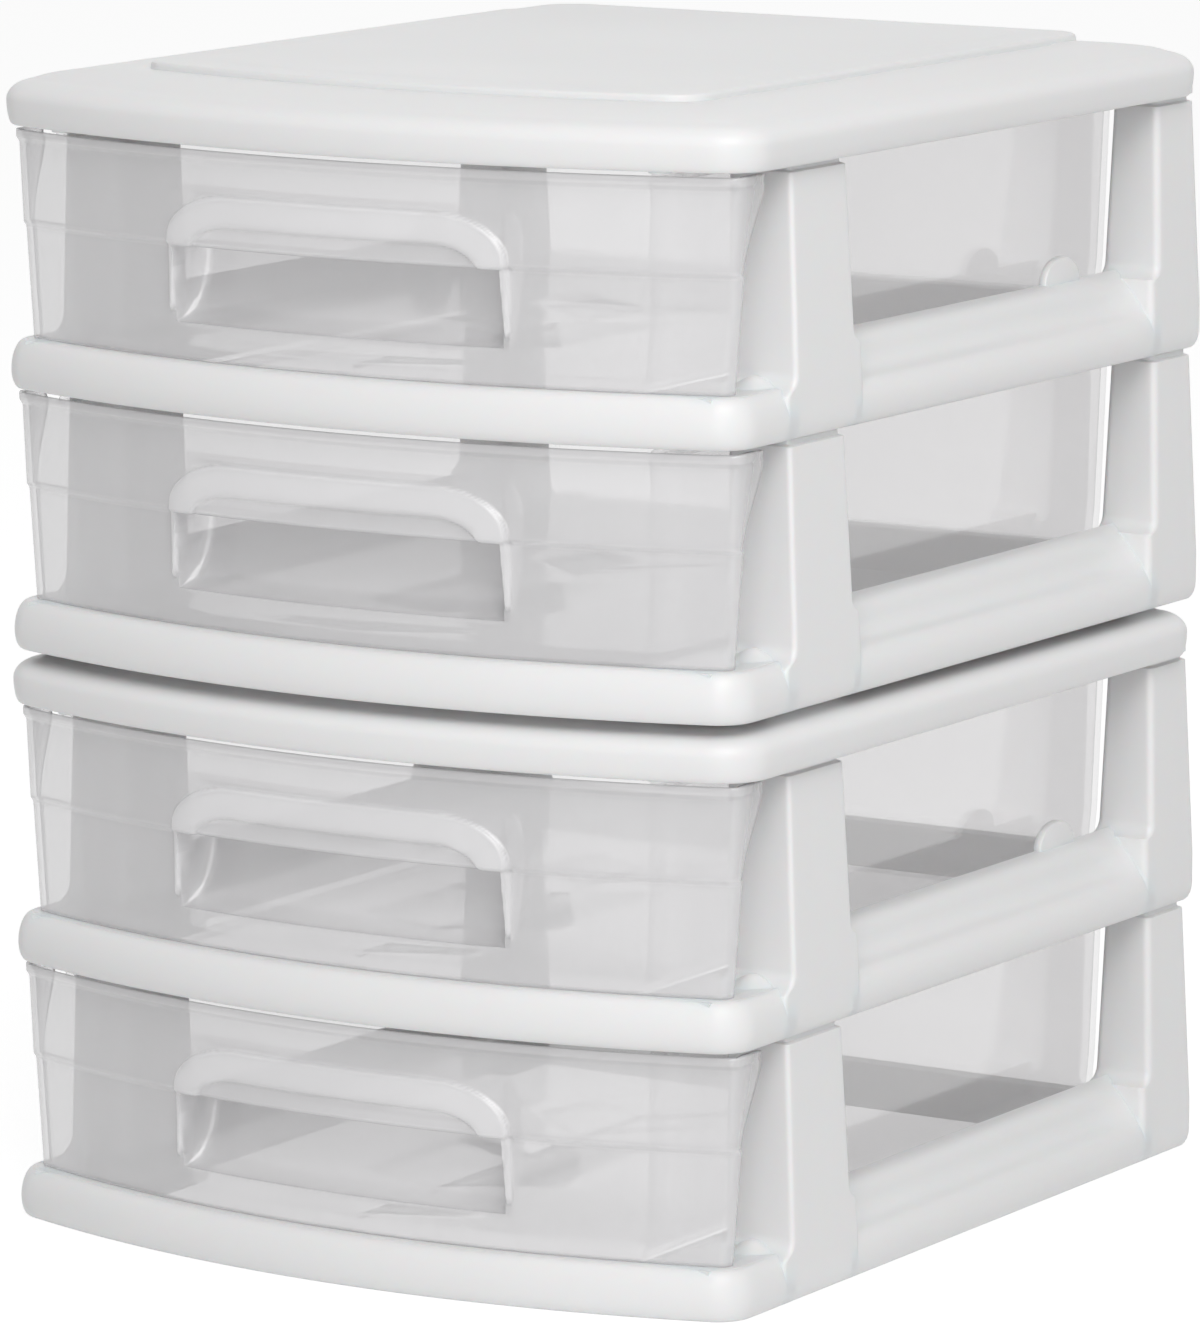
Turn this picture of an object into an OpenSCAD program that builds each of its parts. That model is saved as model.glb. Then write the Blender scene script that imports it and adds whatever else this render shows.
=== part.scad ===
// Plastic drawer tower: two stacked units, each a cover, two ring-and-post frames and two clear
// drawers. Every frame is one moulding: a bowed ring with side rails, drawer ledges and four hollow
// posts. The post tops plug into the hollow posts of the frame above, or into the cover.
// Millimetres, +Z up, front towards -Y, origin at the bottom centre.

/* [Overall] */
// Width over the covers
body_w = 284; // [256:2:330]
// Depth from the crown of the bowed front to the back
body_d = 320; // [290:5:360]
// Height of one frame, from the foot of its ring to the tops of its posts
level_h = 85; // [72:1:110]
// Height of a cover above the posts that carry it
cover_h = 18; // [16:1:24]

/* [Plan outline] */
// Radius of the bowed front
bow_r = 400; // [320:10:800]
// Radius of the front corners of the covers
cover_corner_r = 18; // [16:1:24]
// Radius of the rear corners of the covers
cover_rear_r = 16; // [15.5:0.5:24]
// Radius of the front corners of the frames
frame_corner_r = 14; // [12:1:24]
// How far the frames' sides stand in from the covers
frame_in = 2.5; // [1:0.5:4]

/* [Frame ring] */
// Height of the ring along the front and back
ring_h = 16; // [12:1:20]
// Width of the ring's section
ring_w = 11.5; // [9:0.5:13]
// Wall thickness of the white mouldings
wall = 2.4; // [1.6:0.2:3]
// How far the foot of the roll stands in from its fullest line
roll_foot = 2.5; // [1:0.5:4]
// Height of the fullest line of the roll
roll_z = 6; // [4:0.5:8]
// How far the top edge of the roll stands in from its fullest line
roll_top = 5; // [3:0.5:6]

/* [Side rails and ledges] */
// Height of the side rails
rail_h = 28; // [24:1:34]
// Width of the side rails
rail_w = 17.5; // [15:0.5:22]
// How far the waist of a rail stands in
waist_in = 9; // [7:0.5:11]
// How far each drawer ledge reaches in from the outside of the frame
ledge_reach = 35.5; // [33:0.5:42]
// Depth of the turned-down inner edge of a ledge
ledge_lip = 6; // [4:0.5:9]
// Length of the rounded hump on each rail of the middle frames
hump_l = 27; // [16:1:34]
// Height of the hump above the rail
hump_h = 9; // [5:0.5:12]
// Thickness of the hump
hump_t = 3; // [2:0.5:4]
// Distance of the hump from the back of the frame
hump_y = 69; // [50:1:90]

/* [Posts] */
// Width of the front posts at the top
front_post_w = 22.5; // [18:0.5:26]
// Depth of the front posts at the top
front_post_d = 33; // [24:1:42]
// Width of the rear posts at the top
rear_post_w = 17; // [14:0.5:22]
// Depth of the rear posts at the top
rear_post_d = 25; // [18:1:32]
// How far the outer faces of the posts lean in, foot to top
post_lean = 2.5; // [1:0.5:4]
// How far the inner faces of the posts spread, top to foot
post_flare = 4.5; // [1:0.5:6]
// Distance of the front posts behind the crown of the front
front_post_y = 58; // [50:1:70]
// Radius of the rear posts' outer corners
post_r = 5; // [2:0.5:7]
// Thickness of the cap at the top of a post
post_cap = 3; // [2:0.5:5]
// Height of the plug on top of each post
plug_h = 6; // [4:0.5:9]
// Clearance round a plug
plug_gap = 0.3; // [0.2:0.1:0.5]
// Radius of the dome beside each front post
dome_r = 6.5; // [4:0.5:8]
// Height of the dome above the ring
dome_h = 4.5; // [2:0.5:6]
// Size of the fillet at the foot of each front post
foot_fillet = 5; // [2:0.5:7]

/* [Cover] */
// How far the foot of the cover's roll stands in
cover_foot = 2; // [1:0.5:3]
// Height of the fullest line of the cover's roll
cover_roll_z = 8; // [6:0.5:10]
// Width of the cover's rounded edge
cover_roll_w = 8; // [7:0.5:10]
// How far in from the edge the falling shoulder begins
shoulder_in = 22; // [18:1:24]
// How far the shoulder falls to the rounded edge
shoulder_drop = 3.5; // [1.5:0.5:4]
// How far the raised top panel stands in from the sides
panel_in = 38; // [30:1:46]
// How far the raised top panel stands back from the front
panel_front_in = 39; // [26:1:46]
// How far the raised top panel stands in from the back
panel_back_in = 16; // [15:1:40]
// Height of the raised top panel
panel_rise = 2.5; // [1.5:0.5:4]
// Radius of the two stops under the front of the cover
stop_r = 3.6; // [2:0.2:5]
// How far the stops reach down
stop_h = 0.8; // [0.4:0.1:1]
// Distance of the stops from the middle
stop_x = 112; // [90:1:120]
// Corner radius of the raised top panel
panel_r = 14; // [10:1:30]

/* [Drawer] */
// Wall thickness of a drawer
drawer_wall = 2; // [1.6:0.1:2.6]
// Running clearance between a drawer's rim and the posts
side_gap = 1.2; // [0.8:0.1:2]
// Running clearance above the ledges and the front ring
slide_gap = 0.3; // [0.3:0.1:0.6]
// Clearance under the ring or cover above
top_gap = 1.5; // [1:0.1:3]
// Draft of the drawer's sides and back, bottom to rim
draft = 3; // [1:0.5:4]
// Radius of the rear corners of the drawer
tub_r = 12; // [8:1:18]
// Width of the rim flange
rim_w = 2.8; // [2:0.2:3.6]
// Thickness of the rim flange
rim_t = 2; // [1.6:0.2:2.6]
// Distance of the drawer's back from the back of the frame
back_gap = 7; // [7:1:20]

/* [Drawer front] */
// How far the front panel stands back from the fullest line of the ring
front_set = 6; // [5:0.5:8]
// Thickness of the front panel
front_t = 2.4; // [2:0.1:3]
// Clearance between the front panel and the ring below
front_gap = 0.8; // [0.5:0.1:1.5]
// How far the front panel's top corners stand in from the outside
front_in = 4; // [3:0.5:8]
// Taper of each side edge of the front panel, top to bottom
front_taper = 5; // [2:0.5:8]
// How far the front panel leans back towards its foot
front_lean = 2; // [1:0.5:3]
// Height of the crease above the ring
crease_h = 36.5; // [30:0.5:40]
// Depth of the crease step
crease_step = 1.2; // [0.6:0.1:1.6]
// Projection of the lip along the top edge
lip_out = 1.4; // [0.8:0.2:2]
// Height of the lip along the top edge
lip_h = 2.6; // [1.8:0.2:4]
// Reach of the side returns at the top
return_top = 14; // [10:1:18]
// Reach of the side returns at the foot
return_foot = 3.5; // [3:0.5:6]

/* [Finger pull] */
// Half width of the arched pull
pull_w = 63.5; // [45:0.5:75]
// Height of the arch above the crease
pull_rise = 17.5; // [12:0.5:20]
// Corner radius of the arch
pull_r = 28; // [18:1:34]
// Width of the raised arch bead
bead_w = 9; // [6:0.5:11]
// Height of the bead above the front panel
bead_out = 2; // [1:0.2:3]
// Depth of the finger pocket
pocket_d = 17; // [14:0.5:20]
// Height of the pocket's foot above the ring
pocket_foot = 12; // [8:0.5:15]

/* [Hidden] */
$fn = 96;
lap = 0.5;
unit_h = 2 * level_h + cover_h;
half_w = body_w / 2;
back_y = body_d / 2;
bow_cy = -body_d / 2 + bow_r;

frame_hw = half_w - frame_in;
hair = 0.01;

// Posts: outer face at the top, inner faces at the top, front face of the front pair and
// front and back faces of the rear pair at the top
post_x = frame_hw - post_lean;
fp_x = post_x - front_post_w;
rp_x = post_x - rear_post_w;
fp_y = -body_d / 2 + front_post_y;
rp_y1 = back_y - post_lean;
rp_y0 = rp_y1 - rear_post_d;

// Drawer body
rim_x = fp_x - side_gap;
tub_x = rim_x - rim_w;
tub_back = back_y - back_gap;
tub_z = ring_h + slide_gap;
rim_z = level_h - top_gap;
tub_front = -body_d / 2 + front_set;

// Drawer front
front_r = bow_r - front_set;
front_z = ring_h + front_gap;
crease_z = ring_h + crease_h;
front_x = half_w - front_in;
side_a = atan(front_taper / (rim_z - front_z));
pocket_z = ring_h + pocket_foot;
pull_z = crease_z + pull_rise;
pocket_r = front_r - pocket_d;

function rounded(v) = round(v * 1000) / 1000;

// Points along a quarter of an oval from angle a0 to a1: centre c, half sizes h
function oval(c, h, a0, a1, n = 8) =
    [for (i = [0:n]) let (a = a0 + (a1 - a0) * i / n) c + [h[0] * cos(a), h[1] * sin(a)]];

// Points along a curve from p to q that leaves towards c
function bend(p, c, q, n = 8) =
    [for (i = [0:n]) let (t = i / n) (1 - t) * (1 - t) * p + 2 * t * (1 - t) * c + t * t * q];

// Plan outline with its own insets from the sides, front and back, and its own corner radius
function arc_points(c, r, a0, a1, n) = [for (i = [0:n]) let (a = a0 + (a1 - a0) * i / n)
    c + r * [cos(a), sin(a)]];
function plan_points(w, front, back, r) =
    let (b = bow_r - front, cy = corner_y(w, b, r), a = asin((w - r) / (b - r)),
         ry = back_y - back - r)
    concat(
        arc_points([0, bow_cy], b, 270 - a, 270 + a, 48),
        arc_points([w - r, cy], r, 270 + a, 360, 8),
        arc_points([w - r, ry], r, 0, 90, 8),
        arc_points([r - w, ry], r, 90, 180, 8),
        arc_points([r - w, cy], r, 180, 270 - a, 8)
    );

// Depth at which a front corner's centre lies: half width w, bow radius b, corner radius r
function corner_y(w, b, r) = rounded(bow_cy - sqrt(pow(b - r, 2) - pow(w - r, 2)));

// Section of the ring, open underneath: x is the distance in from the fullest line
roll = concat(oval([roll_foot, roll_z], [roll_foot, roll_z], -90, -180),
              oval([roll_top, roll_z], [roll_top, ring_h - roll_z], 180, 90));
ring_section = concat(
    [[ring_w - wall, 0], [ring_w - wall, ring_h - wall], [roll_top + wall / 2, ring_h - wall],
     [wall, roll_z], [roll_foot + wall, 0]],
    roll, [[ring_w, ring_h], [ring_w, 0]]
);

// Section of a side rail: the same roll, then a waist and a rounded top
waist_z = (ring_h + rail_h) / 2;
rail_section = concat(
    [[rail_w - wall, 0], [rail_w - wall, rail_h - wall], [waist_in + wall * 1.8, rail_h - wall],
     [waist_in + wall, waist_z], [roll_top + wall, ring_h - wall], [wall, roll_z],
     [roll_foot + wall, 0]],
    oval([roll_foot, roll_z], [roll_foot, roll_z], -90, -180),
    bend([0, roll_z], [0.2, ring_h * 0.7], [roll_top * 0.8, ring_h * 0.88], 6),
    bend([roll_top * 0.84, ring_h * 0.89], [waist_in - 0.5, ring_h * 1.05], [waist_in, waist_z], 6),
    bend([waist_in + 0.1, waist_z + 0.6], [waist_in + 1.2, rail_h - 0.2], [rail_w - 1, rail_h], 6),
    [[rail_w, rail_h], [rail_w, 0]]
);

// Section of a drawer ledge with its turned-down edge
ledge_section = [
    [ring_w - lap, ring_h], [ledge_reach, ring_h], [ledge_reach, ring_h - ledge_lip],
    [ledge_reach - wall, ring_h - ledge_lip], [ledge_reach - wall, ring_h - wall],
    [ring_w - lap, ring_h - wall]
];

// Height of the cover's shoulder at distance i in from the edge
edge_z = cover_h - shoulder_drop;
function shoulder(i) = edge_z + shoulder_drop * (i - cover_roll_w) / (shoulder_in - cover_roll_w);

// Section of the cover's edge with the foot of its shoulder
edge_w = cover_rear_r - 1;
cover_section = concat(
    [[edge_w, shoulder(edge_w) - wall], [cover_roll_w + wall / 2, edge_z - wall],
     [wall * 1.5, (cover_roll_z + edge_z) / 2], [wall, cover_roll_z], [cover_foot + wall, 0]],
    oval([cover_foot, cover_roll_z], [cover_foot, cover_roll_z], -90, -180),
    oval([cover_roll_w * 1.2, cover_roll_z], [cover_roll_w * 1.2, edge_z - cover_roll_z],
         180, 105, 10),
    [[cover_roll_w + 1, shoulder(cover_roll_w + 1)], [edge_w, shoulder(edge_w)]]
);

// Carries a section along the bowed front and round its corners, for half width w and corner
// radius r; the corners stand in by a hair where they join
module around_front(section, w, r) {
    cx = w - r;
    cy = corner_y(w, bow_r, r);
    fan_x = rounded(cx * 1.3);
    fan_y = rounded(bow_cy + (cy - bow_cy) * 1.3);
    intersection() {
        translate([0, bow_cy]) turned(section, bow_r, 360);
        linear_extrude(level_h) polygon([[0, bow_cy], [-fan_x, fan_y], [fan_x, fan_y]]);
    }
    for (s = [0, 1]) mirror([s, 0, 0]) intersection() {
        translate([cx, cy]) turned(section, r - hair, 360);
        linear_extrude(level_h) polygon([[0, bow_cy], [fan_x, fan_y], [2 * fan_x, fan_y]]);
        translate([0, cy - 50, 0]) cube([body_w, 50, level_h]);
    }
}

module turned(section, r, a) {
    rotate_extrude(angle = a) translate([r, 0]) mirror([1, 0]) polygon(section);
}

// Carries a section straight along both sides at half width w
module along_sides(section, w, y0, y1) {
    for (s = [0, 1]) mirror([s, 0, 0]) translate([0, y1]) rotate([90, 0, 0])
        linear_extrude(y1 - y0) translate([w, 0]) mirror([1, 0]) polygon(section);
}

// Carries a section along the back, out to x on both sides
module along_back(section, x) {
    translate([-x, 0]) rotate([90, 0, 90]) linear_extrude(2 * x)
        translate([back_y, 0]) mirror([1, 0]) polygon(section);
}

// Plan of the post tops, shrunk by k all round
module post_plans(k) {
    for (s = [0, 1]) mirror([s, 0]) {
        translate([fp_x + k, fp_y + k]) square([front_post_w - 2 * k, front_post_d - 2 * k]);
        translate([rp_x + k, rp_y0 + k]) square([rear_post_w - 2 * k, rear_post_d - 2 * k]);
    }
}

// Side view of an outer face, foot rounded and top leaning in: out is the fullest line
function outer_face(out, k) = concat(
    oval([out - roll_foot - k, roll_z], [roll_foot, roll_z], -90, 0, 6),
    [[out - k, ring_h], [out - post_lean - k, level_h]]
);

// One post, shrunk by k all round: inner face at x, front and back faces at y0 and y1 at the top
module post(x, y0, y1, k, rear) {
    spread = rear ? post_flare : 0;
    intersection() {
        translate([0, back_y + 1, 0]) rotate([90, 0, 0]) linear_extrude(body_d)
            polygon(concat([[x + k, level_h], [x - spread * 0.7 + k, 0]], outer_face(frame_hw, k)));
        rotate([90, 0, 90]) linear_extrude(body_w) polygon(rear
            ? concat([[y0 + k, level_h], [y0 - post_flare * 0.6 + k, 0]], outer_face(back_y, k))
            : [[y0 + k, level_h], [y0 + k, 0], [y1 + post_flare - k, 0], [y1 - k, level_h]]);
        linear_extrude(level_h) polygon([
            [x - spread + k, y0 - post_flare], [frame_hw, y0 - post_flare],
            each (rear ? arc_points([frame_hw - post_r - k, back_y - post_r - k], post_r, 0, 90, 6)
                       : [[frame_hw, y1 + post_flare]]),
            [x - spread + k, rear ? back_y - k : y1 + post_flare]
        ]);
    }
}

module posts(k) {
    for (s = [0, 1]) mirror([s, 0, 0]) {
        post(fp_x, fp_y, fp_y + front_post_d, k, false);
        post(rp_x, rp_y0, rp_y1, k, true);
    }
}

module frame(has_humps) {
    difference() {
        union() {
            around_front(ring_section, frame_hw, frame_corner_r);
            along_sides(ring_section, frame_hw, corner_y(frame_hw, bow_r, frame_corner_r),
                        fp_y + wall / 2);
            along_back(ring_section, rp_x + wall / 2);
            posts(0);
            along_sides(rail_section, frame_hw, fp_y + front_post_d - wall / 4, rp_y0 + wall / 4);
            intersection() {
                along_sides(ledge_section, frame_hw, -body_d / 2, back_y);
                linear_extrude(ring_h)
                    polygon(plan_points(frame_hw - 4, ring_w - 1, ring_w - 1, 6));
            }
            for (s = [0, 1]) mirror([s, 0, 0]) {
                if (has_humps) hump();
                front_foot();
            }
        }
        intersection() {
            posts(wall);
            translate([0, 0, plug_h + 1]) cube([2 * body_w, 2 * body_d, 2 * level_h - 2 * post_cap
                - 2 * plug_h - 2], center = true);
        }
        translate([0, 0, -1]) linear_extrude(plug_h + 2.5) post_plans(wall);
    }
    translate([0, 0, level_h - lap]) linear_extrude(plug_h + lap) post_plans(wall + plug_gap);
}

// Dome on the ring beside a front post, and the fillet at the post's foot
module front_foot() {
    translate([post_x - dome_r * 1.1, fp_y - dome_r * 0.7, ring_h - lap]) rotate_extrude()
        polygon(concat([[0, 0], [dome_r, 0]], oval([0, lap], [dome_r, dome_h], 0, 90)));
    translate([fp_x + lap, 0, 0]) rotate([90, 0, 90]) linear_extrude(front_post_w - 2 * lap)
        polygon(concat([[fp_y + lap, ring_h - lap]],
            oval([fp_y - foot_fillet, ring_h + foot_fillet], [foot_fillet, foot_fillet], 0, -90),
            [[fp_y - foot_fillet, ring_h - lap]]));
}

// Half-round hump that stands on the inner edge of a side rail
module hump() {
    r = (pow(hump_l / 2, 2) + pow(hump_h, 2)) / (2 * hump_h);
    intersection() {
        translate([frame_hw - rail_w, back_y - hump_y, rail_h + hump_h - r])
            rotate([0, 90, 0]) cylinder(r = r, h = hump_t);
        translate([frame_hw - rail_w, back_y - hump_y - hump_l, rail_h - lap])
            cube([hump_t, 2 * hump_l, hump_h + 2 * lap]);
    }
}

module cover() {
    side_y = corner_y(half_w, bow_r, cover_corner_r);
    rear_y = back_y - cover_rear_r;
    difference() {
        union() {
            around_front(cover_section, half_w, cover_corner_r);
            along_sides(cover_section, half_w, side_y, rear_y);
            for (s = [0, 1]) mirror([s, 0, 0]) {
                translate([half_w - cover_rear_r, rear_y]) turned(cover_section, cover_rear_r, 90);
                cover_stop();
            }
            along_back(cover_section, half_w - cover_rear_r);
            difference() {
                roof(edge_w - 1);
                translate([0, 0, -wall]) roof(edge_w - 2);
            }
            translate([0, 0, edge_z - lap]) linear_extrude(shoulder_drop + panel_rise + lap)
                polygon(plan_points(half_w - panel_in, panel_front_in, panel_back_in, panel_r));
            linear_extrude(plug_h + 3) post_plans(0);
            intersection() {
                linear_extrude(edge_z - wall / 2) post_plans(0);
                linear_extrude(cover_h)
                    polygon(plan_points(half_w - cover_roll_w, cover_roll_w, cover_roll_w, 4));
            }
        }
        translate([0, 0, -1]) linear_extrude(edge_z - wall * 1.5 + 1) post_plans(wall);
        translate([0, 0, -1]) linear_extrude(cover_h + panel_rise - wall + 1)
            polygon(plan_points(half_w - panel_in - wall, panel_front_in + wall,
                                panel_back_in + wall, panel_r - wall));
    }
}

// Everything under the cover's top and its falling shoulders, from inset i inwards
module roof(i) {
    e = cover_roll_w + 1;
    z = shoulder(e) - hair;
    intersection() {
        linear_extrude(cover_h) polygon(plan_points(half_w - i, i, i, 2));
        rotate([90, 0, 0]) linear_extrude(2 * body_d, center = true) polygon([
            [e - half_w, 0], [e - half_w, z], [shoulder_in - half_w, cover_h],
            [half_w - shoulder_in, cover_h], [half_w - e, z], [half_w - e, 0]
        ]);
        bowed([[0, 0], [bow_r - e, 0], [bow_r - e, z], [bow_r - shoulder_in, cover_h],
               [0, cover_h]]);
        rotate([90, 0, 90]) linear_extrude(2 * body_w, center = true) polygon([
            [-body_d, 0], [-body_d, cover_h], [back_y - shoulder_in, cover_h],
            [back_y - e, z], [back_y - e, 0]
        ]);
    }
}

// Small round stop under the front edge of a cover, over the drawer's lip
module cover_stop() {
    y = bow_cy - sqrt(pow(bow_r - front_set, 2) - pow(stop_x, 2));
    translate([stop_x, y, -stop_h]) cylinder(r = stop_r, h = stop_h + edge_z - wall * 1.25);
}

// A section turned about the centre of the bow
module bowed(section) {
    translate([0, bow_cy]) rotate_extrude() polygon(section);
}

// Outline of the arched pull, seen from the front
module pull_outline(k) {
    w = pull_w - k;
    r = max(pull_r - k, 4);
    top = pull_z - k;
    polygon(concat(
        [[w, pocket_z - 1 + k], [w, top - r * 0.55]],
        oval([w - r, top - r * 0.55], [r, r * 0.55], 0, 90),
        oval([r - w, top - r * 0.55], [r, r * 0.55], 90, 180),
        [[-w, pocket_z - 1 + k]]
    ));
}

// Carries an outline seen from the front through the drawer's front
module through_front() {
    translate([0, tub_front + 40, 0]) rotate([90, 0, 0]) linear_extrude(60) children();
}

// Tapered body of a drawer, shrunk by k all round
module tub(k) {
    hull() for (i = [0, 1]) {
        w = tub_x - draft * (1 - i) - k;
        y1 = tub_back - draft * (1 - i) - k;
        z = i == 0 ? tub_z + k : rim_z - 0.1 + k;
        r = tub_r - k;
        translate([0, 0, z]) linear_extrude(0.1) {
            translate([-w, tub_front - 4]) square([2 * w, y1 - r - tub_front + 4]);
            for (s = [-1, 1]) translate([s * (w - r), y1 - r]) circle(r = r, $fn = 32);
        }
    }
}

module drawer() {
    foot_r = front_r - front_lean;
    panel = [
        [foot_r, front_z], [front_r - crease_step, crease_z], [front_r, crease_z + crease_step],
        [front_r, rim_z - lip_h - lip_out], [front_r + lip_out, rim_z - lip_h],
        [front_r + lip_out, rim_z], [front_r - front_t, rim_z],
        [front_r - front_t, crease_z + crease_step],
        [front_r - front_t - crease_step, crease_z], [foot_r - front_t, front_z]
    ];
    pocket_shell = concat(
        [[front_r - lap, pull_z], [pocket_r - drawer_wall, pull_z]],
        oval([foot_r - front_t, crease_z + 2], [pocket_d - front_t - front_lean + drawer_wall,
            crease_z - pocket_z + drawer_wall + 2], 180, 270, 10),
        [[foot_r - lap, pocket_z - drawer_wall], [front_r - crease_step - lap, crease_z],
         [front_r - lap, crease_z + crease_step]]
    );
    pocket_void = concat(
        [[front_r + 5, pocket_z], [front_r + 5, crease_z],
         [front_r - front_t - crease_step, crease_z],
         [front_r - front_t - crease_step, pull_z + 1], [pocket_r, pull_z + 1]],
        oval([foot_r - front_t, crease_z + 2],
             [pocket_d - front_t - front_lean, crease_z - pocket_z + 2], 180, 270, 10)
    );
    difference() {
        union() {
            difference() {
                intersection() {
                    tub(0);
                    bowed([[0, 0], [foot_r - lap, 0], [foot_r - lap, level_h], [0, level_h]]);
                }
                intersection() {
                    tub(drawer_wall);
                    bowed([[0, 0], [foot_r - front_t, 0], [foot_r - front_t, front_z],
                           [front_r - front_t - crease_step, crease_z],
                           [front_r - front_t, crease_z + crease_step],
                           [front_r - front_t, level_h + 9], [0, level_h + 9]]);
                }
            }
            rim();
            intersection() {
                bowed(panel);
                through_front() polygon([
                    [front_taper - front_x, front_z], [front_x - front_taper, front_z],
                    [front_x, rim_z], [-front_x, rim_z]
                ]);
            }
            for (s = [0, 1]) mirror([s, 0, 0]) side_return();
            intersection() {
                bowed(pocket_shell);
                through_front() pull_outline(0);
            }
            bead();
        }
        intersection() {
            bowed(pocket_void);
            through_front() pull_outline(drawer_wall);
        }
    }
}

// Flange round the top of the drawer's sides and back
module rim() {
    y0 = bow_cy - sqrt(pow(front_r - front_t / 2, 2) - pow(rim_x, 2));
    r = tub_r + rim_w;
    translate([0, 0, rim_z - rim_t]) linear_extrude(rim_t) difference() {
        rim_plan(rim_x, tub_back + rim_w, r, y0);
        rim_plan(tub_x - drawer_wall, tub_back - drawer_wall, tub_r - drawer_wall, y0 - 1);
    }
}

module rim_plan(w, y1, r, y0) {
    polygon(concat([[-w, y0], [w, y0]], arc_points([w - r, y1 - r], r, 0, 90, 12),
                   arc_points([r - w, y1 - r], r, 90, 180, 12)));
}

// Curved return behind each side edge of the front panel
module side_return() {
    edge_y = bow_cy - sqrt(pow(front_r - front_t / 2, 2) - pow(front_x, 2));
    h = rim_z - front_z;
    translate([front_x, 0, rim_z]) rotate([0, side_a, 0]) translate([-front_t, 0, -h / cos(side_a)])
        rotate([90, 0, 90]) linear_extrude(front_t) polygon(concat(
            [[edge_y + front_lean, front_taper * 0.2], [edge_y + return_foot, front_taper * 0.2]],
            bend([edge_y + return_foot, h * 0.55], [edge_y + return_foot + 1, h * 0.85],
                 [edge_y + return_top, h - 2]),
            [[edge_y + return_top, h - 0.4], [edge_y, h - 0.4]]
        ));
}

// Raised bead round the arch, cut on the slant where its legs meet the crease
module bead() {
    intersection() {
        bowed([[front_r - front_t, crease_z - 4], [front_r + bead_out - 0.6, crease_z - 4],
               [front_r + bead_out, crease_z + 2], [front_r + bead_out, pull_z + 1],
               [front_r - front_t, pull_z + 1]]);
        through_front() difference() {
            pull_outline(0);
            pull_outline(bead_w);
            polygon([[-pull_w - 1, 0], [pull_w + 1, 0], [pull_w + 1, crease_z - 3],
                     [pull_w - bead_w, crease_z], [bead_w - pull_w, crease_z],
                     [-pull_w - 1, crease_z - 3]]);
        }
    }
}

module lower_base_frame() { color("whitesmoke") frame(false); }
module lower_middle_frame() { color("whitesmoke") translate([0, 0, level_h]) frame(true); }
module lower_cover() { color("whitesmoke") translate([0, 0, 2 * level_h]) cover(); }
module upper_base_frame() { color("whitesmoke") translate([0, 0, unit_h]) frame(false); }
module upper_middle_frame() { color("whitesmoke") translate([0, 0, unit_h + level_h]) frame(true); }
module upper_cover() { color("whitesmoke") translate([0, 0, unit_h + 2 * level_h]) cover(); }
module drawer_1() { color("gainsboro", 0.5) translate([0, 0, unit_h + level_h]) drawer(); }
module drawer_2() { color("gainsboro", 0.5) translate([0, 0, unit_h]) drawer(); }
module drawer_3() { color("gainsboro", 0.5) translate([0, 0, level_h]) drawer(); }
module drawer_4() { color("gainsboro", 0.5) drawer(); }

lower_base_frame();
lower_middle_frame();
lower_cover();
upper_base_frame();
upper_middle_frame();
upper_cover();
drawer_1();
drawer_2();
drawer_3();
drawer_4();
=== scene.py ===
"""Plastic drawer tower: finished surfaces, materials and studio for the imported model."""

import math

import bmesh
import bpy
import numpy as np
from bpy.props import FloatProperty, FloatVectorProperty, PointerProperty
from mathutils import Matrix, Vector


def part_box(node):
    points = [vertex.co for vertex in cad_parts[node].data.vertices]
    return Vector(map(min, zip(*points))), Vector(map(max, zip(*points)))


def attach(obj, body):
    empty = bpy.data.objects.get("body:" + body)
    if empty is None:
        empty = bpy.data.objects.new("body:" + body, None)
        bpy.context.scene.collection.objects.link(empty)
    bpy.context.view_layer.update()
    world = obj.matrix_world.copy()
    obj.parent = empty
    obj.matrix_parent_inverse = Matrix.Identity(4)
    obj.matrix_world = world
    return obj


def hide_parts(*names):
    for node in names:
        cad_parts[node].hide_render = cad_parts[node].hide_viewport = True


bl_info = {
    "name": "Plastic drawer tower",
    "version": (1, 0, 0),
    "blender": (4, 5, 0),
    "location": "View3D > Sidebar > Drawers",
    "description": "Finished surfaces, materials and studio for a stacked plastic drawer tower",
    "category": "Object",
}

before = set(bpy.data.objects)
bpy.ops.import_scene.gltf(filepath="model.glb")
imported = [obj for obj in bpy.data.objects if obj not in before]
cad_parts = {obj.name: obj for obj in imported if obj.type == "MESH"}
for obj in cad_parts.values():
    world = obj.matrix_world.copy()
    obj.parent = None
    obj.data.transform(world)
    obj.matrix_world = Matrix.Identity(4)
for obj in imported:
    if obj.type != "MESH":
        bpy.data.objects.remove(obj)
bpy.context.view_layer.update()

MM = 0.001

# Sizes in millimetres, as in the solid model; y grows to the back. The solid's bow is cut into
# flats, which stay a little behind -160
HALF_W = 142.0
BACK_Y = 160.0
BOW_R = 400.0
FRONT_Y = -159.95
BOW_CY = FRONT_Y + BOW_R
LEVEL_H = 85.0
COVER_H = 18.0
PANEL_RISE = 2.5
FRAME_HW = 139.5
RING_H = 16.0
RAIL_H = 28.0

# Height at which rings, rails and posts stand out the furthest, and how far their foot draws in
FULLEST_Z = 6.0
FOOT_IN = 2.5

# Posts: how far their outer faces lean in, and the inner side, outer side, front and back of
# their tops; how far a plug stands in from its post's faces, and its height
POST_LEAN = 2.5
POST_TOPS = {
    "front": (114.5, FRAME_HW - POST_LEAN, -102.0, -69.0),
    "rear": (120.0, FRAME_HW - POST_LEAN, 132.5, BACK_Y - POST_LEAN),
}
PLUG_INSET = 2.7
PLUG_H = 6.0

# Radius of the drawers' fronts above the crease
FRONT_R = 394.0

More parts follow.
